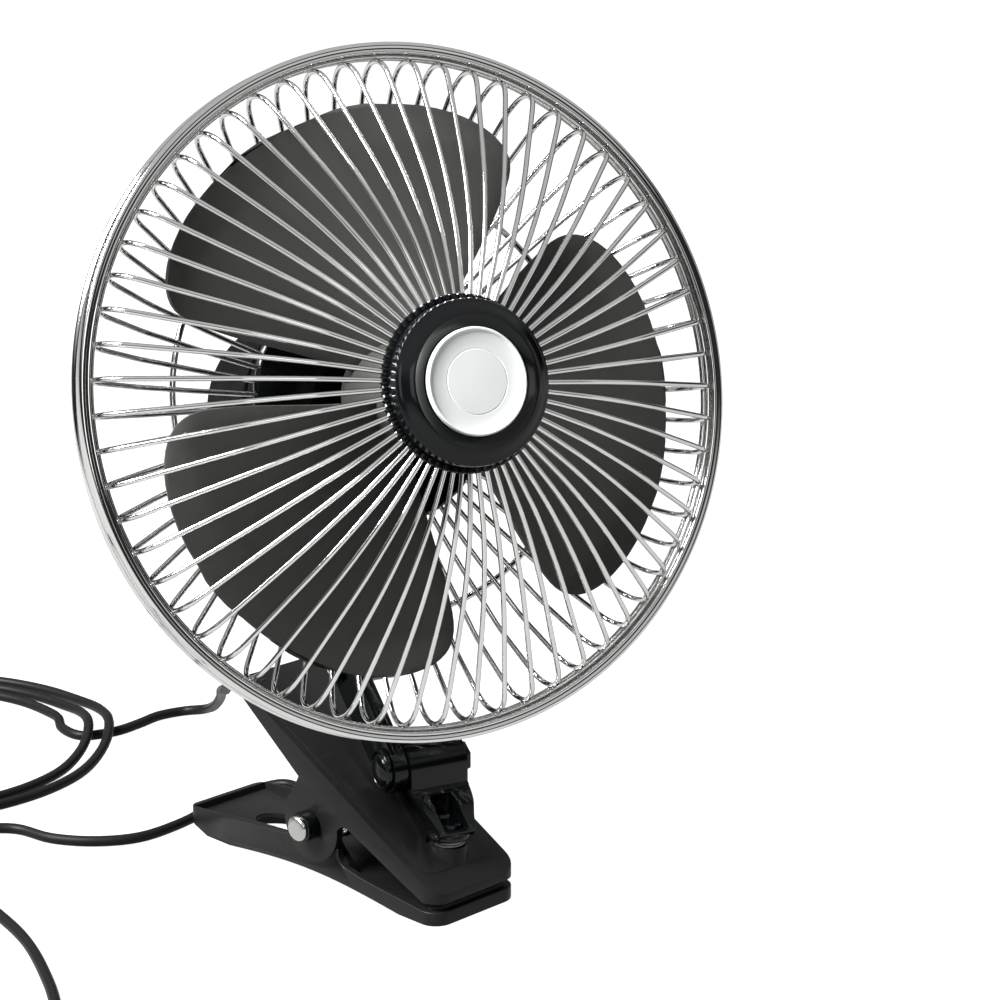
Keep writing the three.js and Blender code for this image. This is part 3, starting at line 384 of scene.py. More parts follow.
def smooth_line(points, steps):
    """Even samples of a centripetal curve through the points."""
    points = [Vector(p) for p in points]
    ends = [2 * points[0] - points[1], *points, 2 * points[-1] - points[-2]]
    line = []
    for a, b, c, d in zip(ends, ends[1:], ends[2:], ends[3:]):
        knots = [0.0]
        for p, q in ((a, b), (b, c), (c, d)):
            knots.append(knots[-1] + max((q - p).length, 1e-9) ** 0.5)
        t0, t1, t2, t3 = knots
        for i in range(steps):
            t = t1 + (t2 - t1) * i / steps
            p = a * (t1 - t) / (t1 - t0) + b * (t - t0) / (t1 - t0)
            q = b * (t2 - t) / (t2 - t1) + c * (t - t1) / (t2 - t1)
            s = c * (t3 - t) / (t3 - t2) + d * (t - t2) / (t3 - t2)
            first = p * (t2 - t) / (t2 - t0) + q * (t - t0) / (t2 - t0)
            second = q * (t3 - t) / (t3 - t1) + s * (t - t1) / (t3 - t1)
            line.append(first * (t2 - t) / (t2 - t1) + second * (t - t1) / (t2 - t1))
    line.append(points[-1])
    return line


def tube(name, line, radius, resolution):
    """A round tube along a line of points in metres, its ends closed."""
    data = bpy.data.curves.new(name, "CURVE")
    data.dimensions = "3D"
    data.bevel_depth = radius
    data.bevel_resolution = resolution
    data.use_fill_caps = True
    spline = data.splines.new("POLY")
    spline.points.add(len(line) - 1)
    for point, place in zip(spline.points, line):
        point.co = (*place, 1)
    obj = bpy.data.objects.new(name, data)
    bpy.context.scene.collection.objects.link(obj)
    only(obj)
    bpy.ops.object.convert(target="MESH")
    tidy_mesh(bpy.context.active_object, 1e-7)
    return bpy.context.active_object


def joined(name, *pieces):
    only(pieces[0])
    for piece in pieces[1:]:
        piece.select_set(True)
    bpy.ops.object.join()
    return named(bpy.context.active_object, name)


def applied(obj, kind, **values):
    """Adds a modifier with these values and applies it."""
    only(obj)
    modifier = obj.modifiers.new(kind.title(), kind)
    for key, value in values.items():
        setattr(modifier, key, value)
    bpy.ops.object.modifier_apply(modifier=modifier.name)
    return obj


def bevelled(obj, width, segments=3, angle=32):
    return applied(obj, "BEVEL", width=width * MM, segments=segments, limit_method="ANGLE",
                   angle_limit=math.radians(angle), harden_normals=False, use_clamp_overlap=True)


def combined(obj, operation, *tools):
    """Joins, cuts or trims obj with each tool in turn, and removes the tools."""
    for tool in tools:
        applied(obj, "BOOLEAN", operation=operation, solver="EXACT", object=tool)
        bpy.data.objects.remove(tool)
    tidy_mesh(obj)
    return obj


def carved(obj, *tools):
    return combined(obj, "DIFFERENCE", *tools)


def rod(axis, start, end, r, u=0, v=0, sides=48):
    """A round bar along X, Y or Z, its middle at (u, v) on the other two axes, in millimetres."""
    middle = (start + end) / 2
    places = {"x": (middle, u, v), "y": (u, middle, v), "z": (u, v, middle)}
    turns = {"x": (0, math.pi / 2, 0), "y": (math.pi / 2, 0, 0), "z": (0, 0, 0)}
    deselect()
    bpy.ops.mesh.primitive_cylinder_add(
        vertices=sides, radius=r * MM, depth=(end - start) * MM, rotation=turns[axis],
        location=Vector(places[axis]) * MM)
    bpy.ops.object.transform_apply(location=True, rotation=True, scale=True)
    return named(bpy.context.active_object, "rod")


def plan(y0, y1, half_front, half_back, round_front, round_back):
    """The plan of a jaw with its corners rounded, as a tall block to trim with."""
    right = [*arc(half_front - round_front, y0 + round_front, round_front, -90, 0, 10),
             *arc(half_back - round_back, y1 - round_back, round_back, 0, 90, 10)]
    return plate("plan", [*right, *[(-x, y) for x, y in reversed(right)]], -10, 80)


def from_node(node, name):
    """A merged copy of a frame node with its flat faces whole, ready to be shaped."""
    mesh = frame["nodes"][node].data.copy()
    mesh.materials.clear()
    obj = bpy.data.objects.new(name, mesh)
    mesh.name = name
    bpy.context.scene.collection.objects.link(obj)
    edit(obj)
    bpy.ops.mesh.remove_doubles(threshold=4e-6)
    bpy.ops.mesh.dissolve_limited(angle_limit=math.radians(1.5))
    done()
    return obj


def carry(obj, place):
    """Moves a piece from its own axes to its place, and leaves its object at the origin."""
    obj.matrix_world = place @ obj.matrix_world
    only(obj)
    bpy.ops.object.transform_apply(location=True, rotation=True, scale=True)


def settle(obj, place, material, body, stands_for, angle=30):
    """Puts a modelled piece in place with its finish, its body and what it replaces."""
    carry(obj, place)
    obj.data.materials.clear()
    obj.data.materials.append(bpy.data.materials[material])
    only(obj)
    bpy.ops.object.shade_smooth_by_angle(angle=math.radians(angle))
    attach(obj, body)
    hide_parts(*stands_for)
    return obj


# ---------------------------------------------------------- the cord's route, in millimetres

CORD_Z = 1.8  # the middle of a cord that lies on the ground
COIL_CENTRE = (-39.5, 235)
COIL_RADIUS = 79
COIL_PITCH = 7.2
COIL_LOOPS = 3
COIL_START = math.radians(-8)
COIL_END = math.radians(190)
LOOP_STEPS = 24
HUMP = 4.5  # how far one strand rises over another that it crosses
HUMP_AT = math.radians(-35)
HUMP_SPREAD = math.radians(20)
EXIT = (-10, 80, 54)
PLUG = (26, 88)
PLUG_RADIUS = 4.6
PLUG_LENGTH = 24
RELIEF_LENGTH = 7


def coil_points():
    """The coil's turns, each beside the last, with a rise where they cross the first."""
    sweep = COIL_LOOPS * TAU + COIL_END - COIL_START - TAU
    steps = round(sweep / TAU * LOOP_STEPS)
    points = []
    for i in range(steps + 1):
        angle = COIL_START + sweep * i / steps
        r = COIL_RADIUS - COIL_PITCH * sweep * (1 - i / steps) / TAU
        off = math.atan2(math.sin(angle - HUMP_AT), math.cos(angle - HUMP_AT)) / HUMP_SPREAD
        rise = 0 if i < LOOP_STEPS / 3 else HUMP * math.exp(-off * off)
        points.append((
            COIL_CENTRE[0] + r * math.cos(angle), COIL_CENTRE[1] + r * math.sin(angle),
            CORD_Z + rise))
    return points


def cord_route():
    """The whole cord: from the handle to the coil, round it, and back past the clip to the plug."""
    coil = coil_points()
    x, y, z = coil[0]
    lead = [
        EXIT, (-10, 85, 53.4), (-7, 93, 50.4), (2, 105, 43.5), (22, 131, 32), (41, 154, 19.5),
        (53, 172, 9), (58, 184, 3.6), (55.5, 191.5, CORD_Z), (46, 194, CORD_Z), (35, 192.5, CORD_Z),
        (24, 192, CORD_Z), (13, 197, CORD_Z), (13, 208, CORD_Z), (x - 1.6, y - 8, CORD_Z),
    ]
    x, y, z = coil[-1]
    tail = [
        (x - 0.5, y - 10, CORD_Z), (-112, 190, CORD_Z), (-101, 155, CORD_Z), (-99, 120, CORD_Z),
        (-106, 82, CORD_Z), (-112, 63, CORD_Z), (-123, 40, CORD_Z), (-131, 26, CORD_Z),
        (-145, 6, CORD_Z), (-164, 2, CORD_Z), (-180, 18, CORD_Z), (-182, 50, CORD_Z),
        (-166, 90, CORD_Z), (-138, 122, CORD_Z + 0.6), (-113, 139, CORD_Z + HUMP),
        (-98, 146, CORD_Z + HUMP + 0.4), (-83, 150, CORD_Z + HUMP), (-68, 148, CORD_Z + 1),
        (-58, 141, CORD_Z), (-55, 126, CORD_Z), (-47, 114, CORD_Z), (-35, 106.5, CORD_Z),
        (-17, 106.5, CORD_Z), (2, 110.5, CORD_Z + 0.3), (18, 110, CORD_Z + 1.2),
        (PLUG[0] - 0.6, 104, PLUG_RADIUS),
        (PLUG[0], PLUG[1] + RELIEF_LENGTH + 0.3, PLUG_RADIUS + 0.1),
    ]
    return [Vector(p) * MM for p in [*lead, *coil, *tail]]


# ---------------------------------------------------------- the pieces


class FAN_OT_camera(bpy.types.Operator):
    """Place the camera at the photograph's viewing angle"""

    bl_idname = "fan.camera"
    bl_label = "Camera"

    azimuth = math.radians(-45.8)
    elevation = math.radians(15.1)
    target = Vector((22.96, 0.55, 123.09)) * MM
    distance = 903.6 * MM
    focal_length = 108
    film_width = 36

    def execute(self, context):
        a, e = self.azimuth, self.elevation
        back = Vector((math.sin(a) * math.cos(e), -math.cos(a) * math.cos(e), math.sin(e)))
        data = bpy.data.cameras.new("camera")
        data.lens = self.focal_length
        data.sensor_width = self.film_width
        data.clip_start = 0.05
        data.clip_end = 60
        camera = bpy.data.objects.new("camera", data)
        context.scene.collection.objects.link(camera)
        camera.location = self.target + back * self.distance
        camera.rotation_mode = "QUATERNION"
        camera.rotation_quaternion = (-back).to_track_quat("-Z", "Y")
        context.scene.camera = camera
        return {"FINISHED"}


class FAN_OT_cord(bpy.types.Operator):
    """Lay the cord with its coil, its strain relief and its round plug"""

    bl_idname = "fan.cord"
    bl_label = "Cord"

    bore = 1.8  # the radius of the relief's inside
    groove = 0.45  # the depth between its ribs

    def relief(self, name, radius, far_radius, ribs):
        """A sleeve that tapers away from what it holds, with ribs round it."""
        pitch = RELIEF_LENGTH / ribs
        profile = [(self.bore, 0), (radius, 0)]
        for i in range(ribs):
            r = radius + (far_radius - radius) * i / ribs
            h = -pitch * i
            profile += [(r, h - 0.15 * pitch), (r, h - 0.62 * pitch),
                        (r - self.groove, h - 0.7 * pitch), (r - self.groove, h - 0.95 * pitch)]
        profile += [(far_radius - 0.3, -RELIEF_LENGTH), (self.bore, -RELIEF_LENGTH),
                    (self.bore, 0)]
        return turned(name, profile, 32)

    def execute(self, context):
        sizes = context.scene.fan_sizes
        route = smooth_line(cord_route(), 5)
        cord = tube("power_cord", route, sizes.cord / 2, 3)
        back = Vector((PLUG[0], PLUG[1] - PLUG_LENGTH, PLUG_RADIUS + 0.1))
        plug_place = Matrix.Translation(back * MM)
        shell = turned("plug_body_shell", [
            (0, -6), (3.05, -6), (3.05, 0), (3.6, 0), (4.2, -0.6), (4.4, -1.4), (4.4, -5),
            (4.1, -5.6), (4.1, -6.6), (4.6, -7.4), (4.6, -18), (4.2, -21), (3.5, -23.6),
            (3.2, -24.2), (2.9, -25), (3.1, -25.4), (3.1, -26.6), (2.6, -27), (2.6, -27.9),
            (2.9, -28.3), (2.9, -29.3), (2.3, -29.8), (2.3, -31), (1.8, -31), (1.8, -24),
            (0, -24)], 40)
        settle(shell, plug_place, "gloss black", "base", ["plug_body"])
        barrel = turned("plug_barrel_sleeve", [
            (1.5, -5.4), (1.5, 9.5), (2.2, 9.5), (2.6, 9.2), (2.75, 8.8), (2.75, 2.2), (2.6, 2.0),
            (2.6, 1.6), (2.75, 1.4), (2.75, -5.4), (1.5, -5.4)], 32)
        settle(barrel, plug_place, "zinc plate", "base", ["plug_barrel"])
        sleeve = self.relief("cord_relief_sleeve", 3.2, 2.6, 4)
        seat = Matrix.Translation(Vector((EXIT[0], EXIT[1] - RELIEF_LENGTH - 0.3, EXIT[2])) * MM)
        settle(sleeve, seat, "soft rubber", "clip_arm", ["cord_relief"])
        cord.data.materials.append(bpy.data.materials["cord jacket"])
        for face in cord.data.polygons:
            face.use_smooth = True
        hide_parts("cord_lead", "cord_coil", "cord_tail")
        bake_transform(cord)
        return {"FINISHED"}


class FAN_OT_rim(bpy.types.Operator):
    """Roll the guard's outer rim"""

    bl_idname = "fan.rim"
    bl_label = "Rim"

    def execute(self, context):
        bead = arc(103.85, 3.35, 1.15, -30, 120, 10)
        lip = arc(102.05, 3.6, 0.65, 50, 230, 9)
        front = [(104.5, 0), (104.5, 2.1), (104.35, 2.4), *bead, *lip, (102.4, 2.9), (102.4, 0)]
        rear = [(r, -h) for r, h in reversed(front)]
        rim = turned("rolled_rim", [*front, *rear[1:]], 180)
        settle(rim, HEAD, "chrome plate", "head", ["rim_band"], 50)
        return {"FINISHED"}


class FAN_OT_wires(bpy.types.Operator):
    """Bend the guard's wires and their rings"""

    bl_idname = "fan.wires"
    bl_label = "Guard wires"

    phase = math.radians(95.5)
    bend_end = 60  # the angle of the bend at each wire's outer end, in degrees
    bend_steps = 5
    ring_h = 1.4  # how far the rings stand ahead of the rim's middle, and behind it
    inset = 1.4  # how far the wires' bends end inside the rings' radius

    def ring(self, name, radius, h, wire):
        """A closed ring of round wire."""
        turns = [TAU * i / 12 for i in range(13)]
        section = [(radius + wire / 2 * math.cos(t), h + wire / 2 * math.sin(t)) for t in turns]
        return turned(name, section, 180)

    def wires(self, name, inner, sizes, side):
        """One wire from the hub out to the middle of its bend at the rim, and its copies."""
        apex = sizes.ring_radius / MM - self.inset
        bend = sizes.bend_radius / MM
        turns = [math.radians(self.bend_end * (1 - i / self.bend_steps))
                 for i in range(self.bend_steps + 1)]
        curve = [(apex - bend + bend * math.cos(t), side * bend * math.sin(t)) for t in turns]
        line = smooth_line([Vector((r * MM, -h * MM, 0)) for r, h in [*inner, *curve]], 3)
        wire = tube(name, line, sizes.wire / 2, 2)
        wire.matrix_world = Matrix.Rotation(-self.phase, 4, "Y") @ wire.matrix_world
        carry(wire, Matrix.Identity(4))
        round_about(wire, sizes.spokes)
        return wire

    def execute(self, context):
        sizes = context.scene.fan_sizes
        ring_r = sizes.ring_radius / MM
        ring_wire = sizes.ring_wire / MM
        front = self.wires("front_wires", [
            (23.6, 37.2), (30, 36.4), (37, 35.3), (44, 33.9), (53, 30.9), (62, 27.2), (70, 23.2),
            (78, 18.7), (87, 13.65)], sizes, 1)
        front_ring = self.ring("front_ring", ring_r, self.ring_h, ring_wire)
        front = joined("front_wires", front, front_ring)
        settle(front, HEAD, "chrome plate", "head", ["front_guard"], 60)
        rear = self.wires("rear_wires", [
            (38.6, -28), (46, -27), (54, -25.4), (62, -23.4), (71, -20.3), (80, -17.6),
            (88, -13.1)], sizes, -1)
        rear_ring = self.ring("rear_rim_ring", ring_r, -self.ring_h, ring_wire)
        rear = joined("rear_wires", rear, rear_ring)
        settle(rear, HEAD, "chrome plate", "head", ["rear_guard"], 60)
        brace = self.ring("rear_brace_ring", 67.6, -23.2, 1.9)
        settle(brace, HEAD, "chrome plate", "head", ["rear_ring"], 60)
        return {"FINISHED"}


class FAN_OT_hub(bpy.types.Operator):
    """Turn the guard's hub ring and its bare disc"""

    bl_idname = "fan.hub"
    bl_label = "Hub ring and disc"

    def execute(self, context):
        sizes = context.scene.fan_sizes
        ring = turned("hub_moulding", [
            (22.2, 35.5), (24.1, 35.5), (24.4, 35.8), (24.4, 42.9), (24.15, 43.5), (23.4, 44.0),
            (23.1, 44.1), (22.7, 44.35), (21.4, 45.3), (20.4, 45.85), (19.7, 46.1), (19.35, 46.15),
            (19.05, 45.95), (17.4, 45.0), (16.3, 44.75), (16.0, 44.7), (16.0, 44.4), (13.5, 44.4),
            (13.5, 42.2), (22.2, 40.4), (22.2, 35.5)], 128)
        socket = turned("wire_sockets", [
            (0.75, 0), (1.3, 0), (1.5, 0.35), (1.5, 1.5), (1.25, 1.9), (0.75, 1.9), (0.75, 0)], 10)
        turn = Matrix.Rotation(-FAN_OT_wires.phase, 4, "Y")
        out = axes((24.15 * MM, -37.15 * MM, 0), (0, 0, 1), (-1, -0.11, 0))
        carry(socket, turn @ out)
        round_about(socket, sizes.spokes)
        ring = joined("hub_moulding", ring, socket)
        settle(ring, HEAD, "gloss black", "head", ["hub_ring"], 28)
        disc = turned("centre_disc", [
            (0, 44.9), (15.2, 44.9), (15.75, 45.1), (15.8, 46.2), (15.55, 46.75), (15.2, 46.85),
            (14.85, 46.7), (14.7, 46.35), (14.45, 46.25), (9.75, 46.25), (9.6, 46.1), (9.45, 46.1),
            (9.3, 46.28), (6, 46.36), (0, 46.4)], 128)
        settle(disc, HEAD, "silvered disc", "head", ["badge_disc"], 28)
        return {"FINISHED"}


class FAN_OT_rotor(bpy.types.Operator):
    """Shape the rotor's blades and hub"""

    bl_idname = "fan.rotor"
    bl_label = "Rotor"

    phase = math.radians(107.7)
    root = 15.5  # the radius at which a blade starts, inside the hub
    shoulder = 60  # the radius from which its sides curve in to the tip
    shoulder_row = 0.4  # the share of its rows up to there
    last_turn = 0.985  # how much of the curve is used, so that the tip isn't a point
    narrow = math.radians(42)  # half of the angle that it takes at the hub
    spread = math.radians(49)  # and at its broadest
    hub_radius = 14
    reach = 47  # from the hub to where it is broadest
    easing = (22, 33)  # its pitch eases off over the outer part
    camber = 0.12
    square = 4  # how square its outer corners are
    rows = 30
    columns = 20

    def half_angle(self, r):
        """Half of the angle that a blade would take at a radius, were its corners sharp."""
        share = min(1.0, (r - self.hub_radius) / self.reach)
        return self.narrow + (self.spread - self.narrow) * math.sin(share * math.pi / 2)

    def blades(self, sizes):
        """One blade, shaped from a flat grid and thickened, and its copies round the hub."""
        tip = sizes.blade_tip / MM
        deselect()
        bpy.ops.mesh.primitive_grid_add(
            x_subdivisions=self.columns, y_subdivisions=self.rows, size=2)
        obj = named(bpy.context.active_object, "blades")
        for vertex in obj.data.vertices:
            across, along = vertex.co.x, (vertex.co.y + 1) / 2
            if along < self.shoulder_row:
                r = self.root + (self.shoulder - self.root) * along / self.shoulder_row
                half = self.half_angle(r)
            else:
                outer = (along - self.shoulder_row) / (1 - self.shoulder_row)
                turn = outer * math.pi / 2 * self.last_turn
                r = self.shoulder + (tip - self.shoulder) * math.sin(turn) ** (2 / self.square)
                half = self.spread * math.cos(turn) ** (2 / self.square)
            angle = across * half
            share = angle / self.half_angle(r)
            rise = sizes.blade_rise * min(1.0, (tip + self.easing[0] - r) / self.easing[1])
            h = rise * share * (1 - self.camber * share * share)
            vertex.co = (r * MM * math.cos(angle), h, r * MM * math.sin(angle))
        tidy_mesh(obj)
        applied(obj, "SOLIDIFY", thickness=sizes.blade_thickness, offset=0)
        bevelled(obj, 0.5, 2, 50)
        obj.matrix_world = Matrix.Rotation(-self.phase, 4, "Y")
        carry(obj, Matrix.Identity(4))
        round_about(obj, sizes.blades)
        return obj

    def execute(self, context):
        sizes = context.scene.fan_sizes
        blades = self.blades(sizes)
        hub = turned("rotor_hub", [
            (1.7, 15), (8, 14.8), (11.5, 13.8), (14.2, 11.8), (16, 9), (17, 5), (17, -14.6),
            (16.6, -15), (15.2, -15), (15, -14.6), (15, 5), (12.6, 9.6), (10, 11.6), (5, 12),
            (5, -15), (1.7, -15), (1.7, 15)], 72)
        rotor = joined("blades_and_hub", blades, hub)
        settle(rotor, HEAD, "blade plastic", "rotor", ["impeller"], 40)
        nose = turned("spinner_nose", [
            (0, 18.9), (2, 18.7), (3.6, 18), (4.6, 17), (5, 15.9), (5, 15.3), (1.8, 15.3),
            (1.8, 17.2), (0, 17.2)], 40)
        settle(nose, HEAD, "gloss black", "rotor", ["spinner"], 40)
        return {"FINISHED"}


class FAN_OT_housing(bpy.types.Operator):
    """Turn the motor's housing and its seam, and finish the plate in front of it"""

    bl_idname = "fan.housing"
    bl_label = "Motor housing"

    def execute(self, context):
        r = context.scene.fan_sizes.housing_radius / MM
        front = turned("housing_front_shell", [
            (4.5, -30), (27.8, -30), (29.6, -30.3), (30.9, -31.2), (r, -32.8), (r, -56.2),
            (r - 0.35, -56.8), (r - 2, -57), (r - 2, -33), (28, -32), (4.5, -32), (4.5, -30)], 128)
        settle(front, HEAD, "housing plastic", "head", ["housing_front"])
        seam = turned("seam_band", [
            (r - 2.3, -53.5), (r - 1.6, -56.8), (r - 1.6, -60.2), (r - 2.3, -63.5),
            (r - 3.9, -63.5), (r - 3.9, -53.5), (r - 2.3, -53.5)], 128)
        settle(seam, HEAD, "soft rubber", "head", ["seam_ring"])
        corner = arc(-9, 91, 9, 0, 90, 12)
        rear = turned("housing_rear_shell", [
            (0, -98), (r - 9, -98), (r - 4, -96), (r - 2, -91), (r - 2, -60), (r - 0.35, -60.2),
            (r, -60.8), *[(r + y, -z) for y, z in corner], (16, -100), (15.4, -99.7), (14.6, -99.7),
            (14, -100), (0, -100)], 128)
        settle(rear, HEAD, "housing plastic", "head", ["housing_rear"])
        backplate = from_node("guard_plate", "rear_plate")
        bevelled(backplate, 0.4, 2)
        settle(backplate, CLIP, "gloss black", "head", ["guard_plate"])
        return {"FINISHED"}


class FAN_OT_neck(bpy.types.Operator):
    """Shape the neck under the housing, the link and the swivel knuckle"""

    bl_idname = "fan.neck"
    bl_label = "Neck, link and knuckle"

    barrel = (17.7, 39.5, 8.5)  # the lower bolt's Y and Z, and the radius round it
    left = -8
    right = 11
    flange_z = 21.4  # the flange's underside
    narrow_z = 24  # where the cheeks meet the flange
    broad_z = 34  # above this they have their full width
    narrowing = (4.6, -2.7)  # how far the right cheek and the left one come in at the flange
    pin_radius = 2.8  # of the lower bolt's hole

    def knuckle(self):
        """Two cheeks that narrow from the barrel to a round flange, with a pocket between them."""
        y, z, r = self.barrel
        outline = [
            (-5.4, self.narrow_z), (-5.3, 25.2), (2.4, 30.6), (7.6, 33.2),
            (y - r, self.broad_z + 0.6), *reversed(arc(y, z, r, 0, 180, 28)), (y + r, 34.9),
            (14, 28.4), (8, 25.2), (4, self.narrow_z - 1.2), (3.4, self.narrow_z - 1.6),
            (-4, self.narrow_z - 1.6),
        ]
        body = slab("swivel_knuckle", outline, self.left, self.right)
        edit(body)
        for level in (26, 28, 30, 32, self.broad_z):
            bpy.ops.mesh.select_all(action="SELECT")
            bpy.ops.mesh.bisect(plane_co=(0, 0, level * MM), plane_no=(0, 0, 1))
        done()
        depth = (self.broad_z - self.narrow_z) * MM
        for vertex in body.data.vertices:
            share = min(1.0, max(0.0, (self.broad_z * MM - vertex.co.z) / depth))
            ease = share * share * (3 - 2 * share)
            vertex.co.x -= ease * self.narrowing[0 if vertex.co.x > 0 else 1] * MM
        flange = turned("flange", [
            (0, self.flange_z), (5.9, self.flange_z), (6.3, 21.6), (6.5, 22.0), (6.5, 22.9),
            (6.35, 23.3), (5.9, 23.7), (5.2, 24.1), (4.6, 24.9), (4.2, 26), (0, 26)], 64)
        carry(flange, axes((0, 0, 0), (1, 0, 0), (0, 0, -1)))
        combined(body, "UNION", flange)
        pocket = slab("pocket", [
            (-9, 24.6), (8.2, 24.6), (8.2, 32.8), (3.6, 33.3), (-9, 33.3)], -3.6, 4.4)
        bevelled(pocket, 1.2, 4, 40)
        carved(body, pocket, rod("z", self.flange_z - 1, 30, STUD_RADIUS),
               rod("x", -20, 20, self.pin_radius, y, z))
        bevelled(body, 0.55, 3, 38)
        settle(body, SWIVEL, "gloss black", "swivel", ["knuckle"], 42)

    def execute(self, context):
        for node, name, width, body in (
            ("neck", "neck_block", 0.9, "head"),
            ("link", "link_bar", 0.7, "link_arm"),
        ):
            piece = from_node(node, name)
            bevelled(piece, width, 3, 40)
            settle(piece, CLIP, "gloss black", body, [node])
        self.knuckle()
        return {"FINISHED"}


class FAN_OT_clip(bpy.types.Operator):
    """Shape the clip's two jaws, its pads and its spring"""

    bl_idname = "fan.clip"
    bl_label = "Clip"

    half = 18  # half of the clip's width
    wall = 2.5
    tip = -12.5
    pivot = (PIVOT.y / MM, PIVOT.z / MM)
    cheek = 12  # the radius of the upper jaw's cheeks, about the pivot
    seam = 0.35  # between a cheek and the lower jaw's wall
    lug = 15.2  # the outer face of the lower jaw's lugs
    throat_end = 27.2
    throat_round = 3.9
    upper_end = 77
    lower_end = 104.5
    slope = 0.5436  # of the upper jaw's top
    edge_step = 0.5  # how far the upper jaw's top lies below its raised edge
    boss = (13.4, 19.4)  # the swivel's seat inside the upper jaw: its foot and its top
    pin_radius = 2.3  # of the pivot's hole
    bore_start = 73.9  # where the cord's bore in the upper handle's end starts
    hole_y = 74  # the middle of the lower handle's hole

    def ridge(self, y, below=0.0):
        """A point of the upper jaw's sloping top, or so far below it."""
        return (y, 10.6 + (y - self.tip) * self.slope - below)

    def upper_jaw(self):
        py, pz = self.pivot
        outline = [
            (self.tip, 7.1), (-6.5, 7.1),
            *reversed(arc(self.throat_end, 18, self.throat_round, 0, 118, 10)),
            *arc(py, pz, self.cheek, 186, 376, 1), (48, 33.3),
            self.ridge(self.upper_end - 1.8, 4.2), self.ridge(self.upper_end, 1),
            self.ridge(self.upper_end - 0.6), self.ridge(self.tip),
        ]
        inner = self.half - self.wall
        body = slab("upper_jaw_moulding", outline, -self.half, self.half)
        combined(body, "INTERSECT", plan(self.tip, self.upper_end, self.half, self.half, 6, 4))
        bevelled(body, 0.75, 3, 38)
        cheeks = bevelled(rod("x", -self.half, self.half, self.cheek, py, pz, 96), 0.25, 3, 38)
        combined(body, "UNION", cheeks)
        margin = slab("margin", [
            self.ridge(-20, self.edge_step), self.ridge(90, self.edge_step), self.ridge(90, -4),
            self.ridge(-20, -4)], -self.half - 1, self.half + 1)
        carved(margin, plan(-5.4, self.upper_end - 2.4, self.half - 2.3, self.half - 2.3, 5, 3))
        hollow = slab("hollow", [(4, -5), self.ridge(4, 3), self.ridge(self.upper_end - 3, 3),
                                 (self.upper_end - 3, -5)], -inner, inner)
        carved(body, margin, hollow)
        foot, top = self.boss
        combined(body, "UNION", rod("z", foot, top, 5.8))
        carved(body, rod("z", top, 28.4, 6.9), rod("z", -5, foot, 5.8),
               rod("z", -5, 30, STUD_RADIUS), rod("x", -20, 20, self.pin_radius, py, pz),
               rod("y", self.bore_start, 90, 3.5, EXIT[0], EXIT[2]))
        bevelled(body, 0.18, 2, 50)
        settle(body, CLIP, "clip plastic", "clip_arm", ["upper_jaw"], 42)

    def lower_jaw(self):
        py, pz = self.pivot
        arch = [(4 + 80 * i / 20, 3 * math.sin(math.pi * i / 20)) for i in range(21)]
        end = self.throat_end + self.throat_round
        outline = [
            (self.tip, 0), *arch, (95, 0), (self.lower_end, 3.4), (self.lower_end, 8.3), (96, 9),
            (74, 11.2), (56, 12.6), (54, 13.2), (end + 0.5, 13.6), (end, 13.2),
            *reversed(arc(self.throat_end, 12, self.throat_round, -90, 0, 10)), (20.5, 6.9),
            (11.7, 6.0), (-6.5, 4.4), (self.tip, 4.4),
        ]
        lugs = [(27, 4.4), (58, 4.4), (56, 10), *arc(py, pz, 6.6, -20, 200, 24), (29, 9)]
        body = slab("lower_jaw_moulding", outline, -self.half, self.half)
        combined(body, "INTERSECT", plan(self.tip, self.lower_end, self.half, self.half - 2, 6, 4))
        bevelled(body, 0.7, 3, 38)
        hollow = slab("hollow", [
            (2, 20), (2, 4.5), (24, 5.2), (62, 5), (96, 5.4), (self.lower_end - self.wall, 6.4),
            (self.lower_end - self.wall, 20)], -self.lug, self.lug)
        recess = arc(py, pz, self.cheek + self.seam, 0, 352.5, 47)
        hole = rod("z", -5, 15, 1, 0, 0, 64)
        hole.scale = (7, 13, 1)
        below = rod("z", -5, 3.9, 1, 0, 0, 64)
        below.scale = (11.5, 17, 1)
        hole.location.y = below.location.y = self.hole_y * MM
        carved(body, hollow, slab("recess", recess, self.lug, self.half + 1),
               slab("recess", recess, -self.half - 1, -self.lug))
        combined(body, "UNION", slab("lug", lugs, self.lug - self.wall, self.lug),
                 slab("lug", lugs, -self.lug, self.wall - self.lug))
        carved(body, hole, below, rod("x", -20, 20, self.pin_radius, py, pz))
        bevelled(body, 0.18, 2, 50)
        settle(body, CLIP, "clip plastic", "base", ["lower_jaw"], 42)

    def pad(self, name, node, bottom, top, body):
        """A thin pad with ribs across it, set back from the jaw's edges."""
        front = self.tip + 2.2
        piece = slab(name, [(front, bottom), (-7, bottom), (-7, top), (front, top)], -15.8, 15.8)
        combined(piece, "INTERSECT", plan(front, 20, 15.8, 15.8, 4.4, 1))
        grooves = [rod("x", -20, 20, 0.22, y, top if body == "base" else bottom, 12)
                   for y in (-9.8, -8.9, -8)]
        carved(piece, *grooves)
        bevelled(piece, 0.12, 2, 40)
        settle(piece, CLIP, "soft rubber", body, [node])

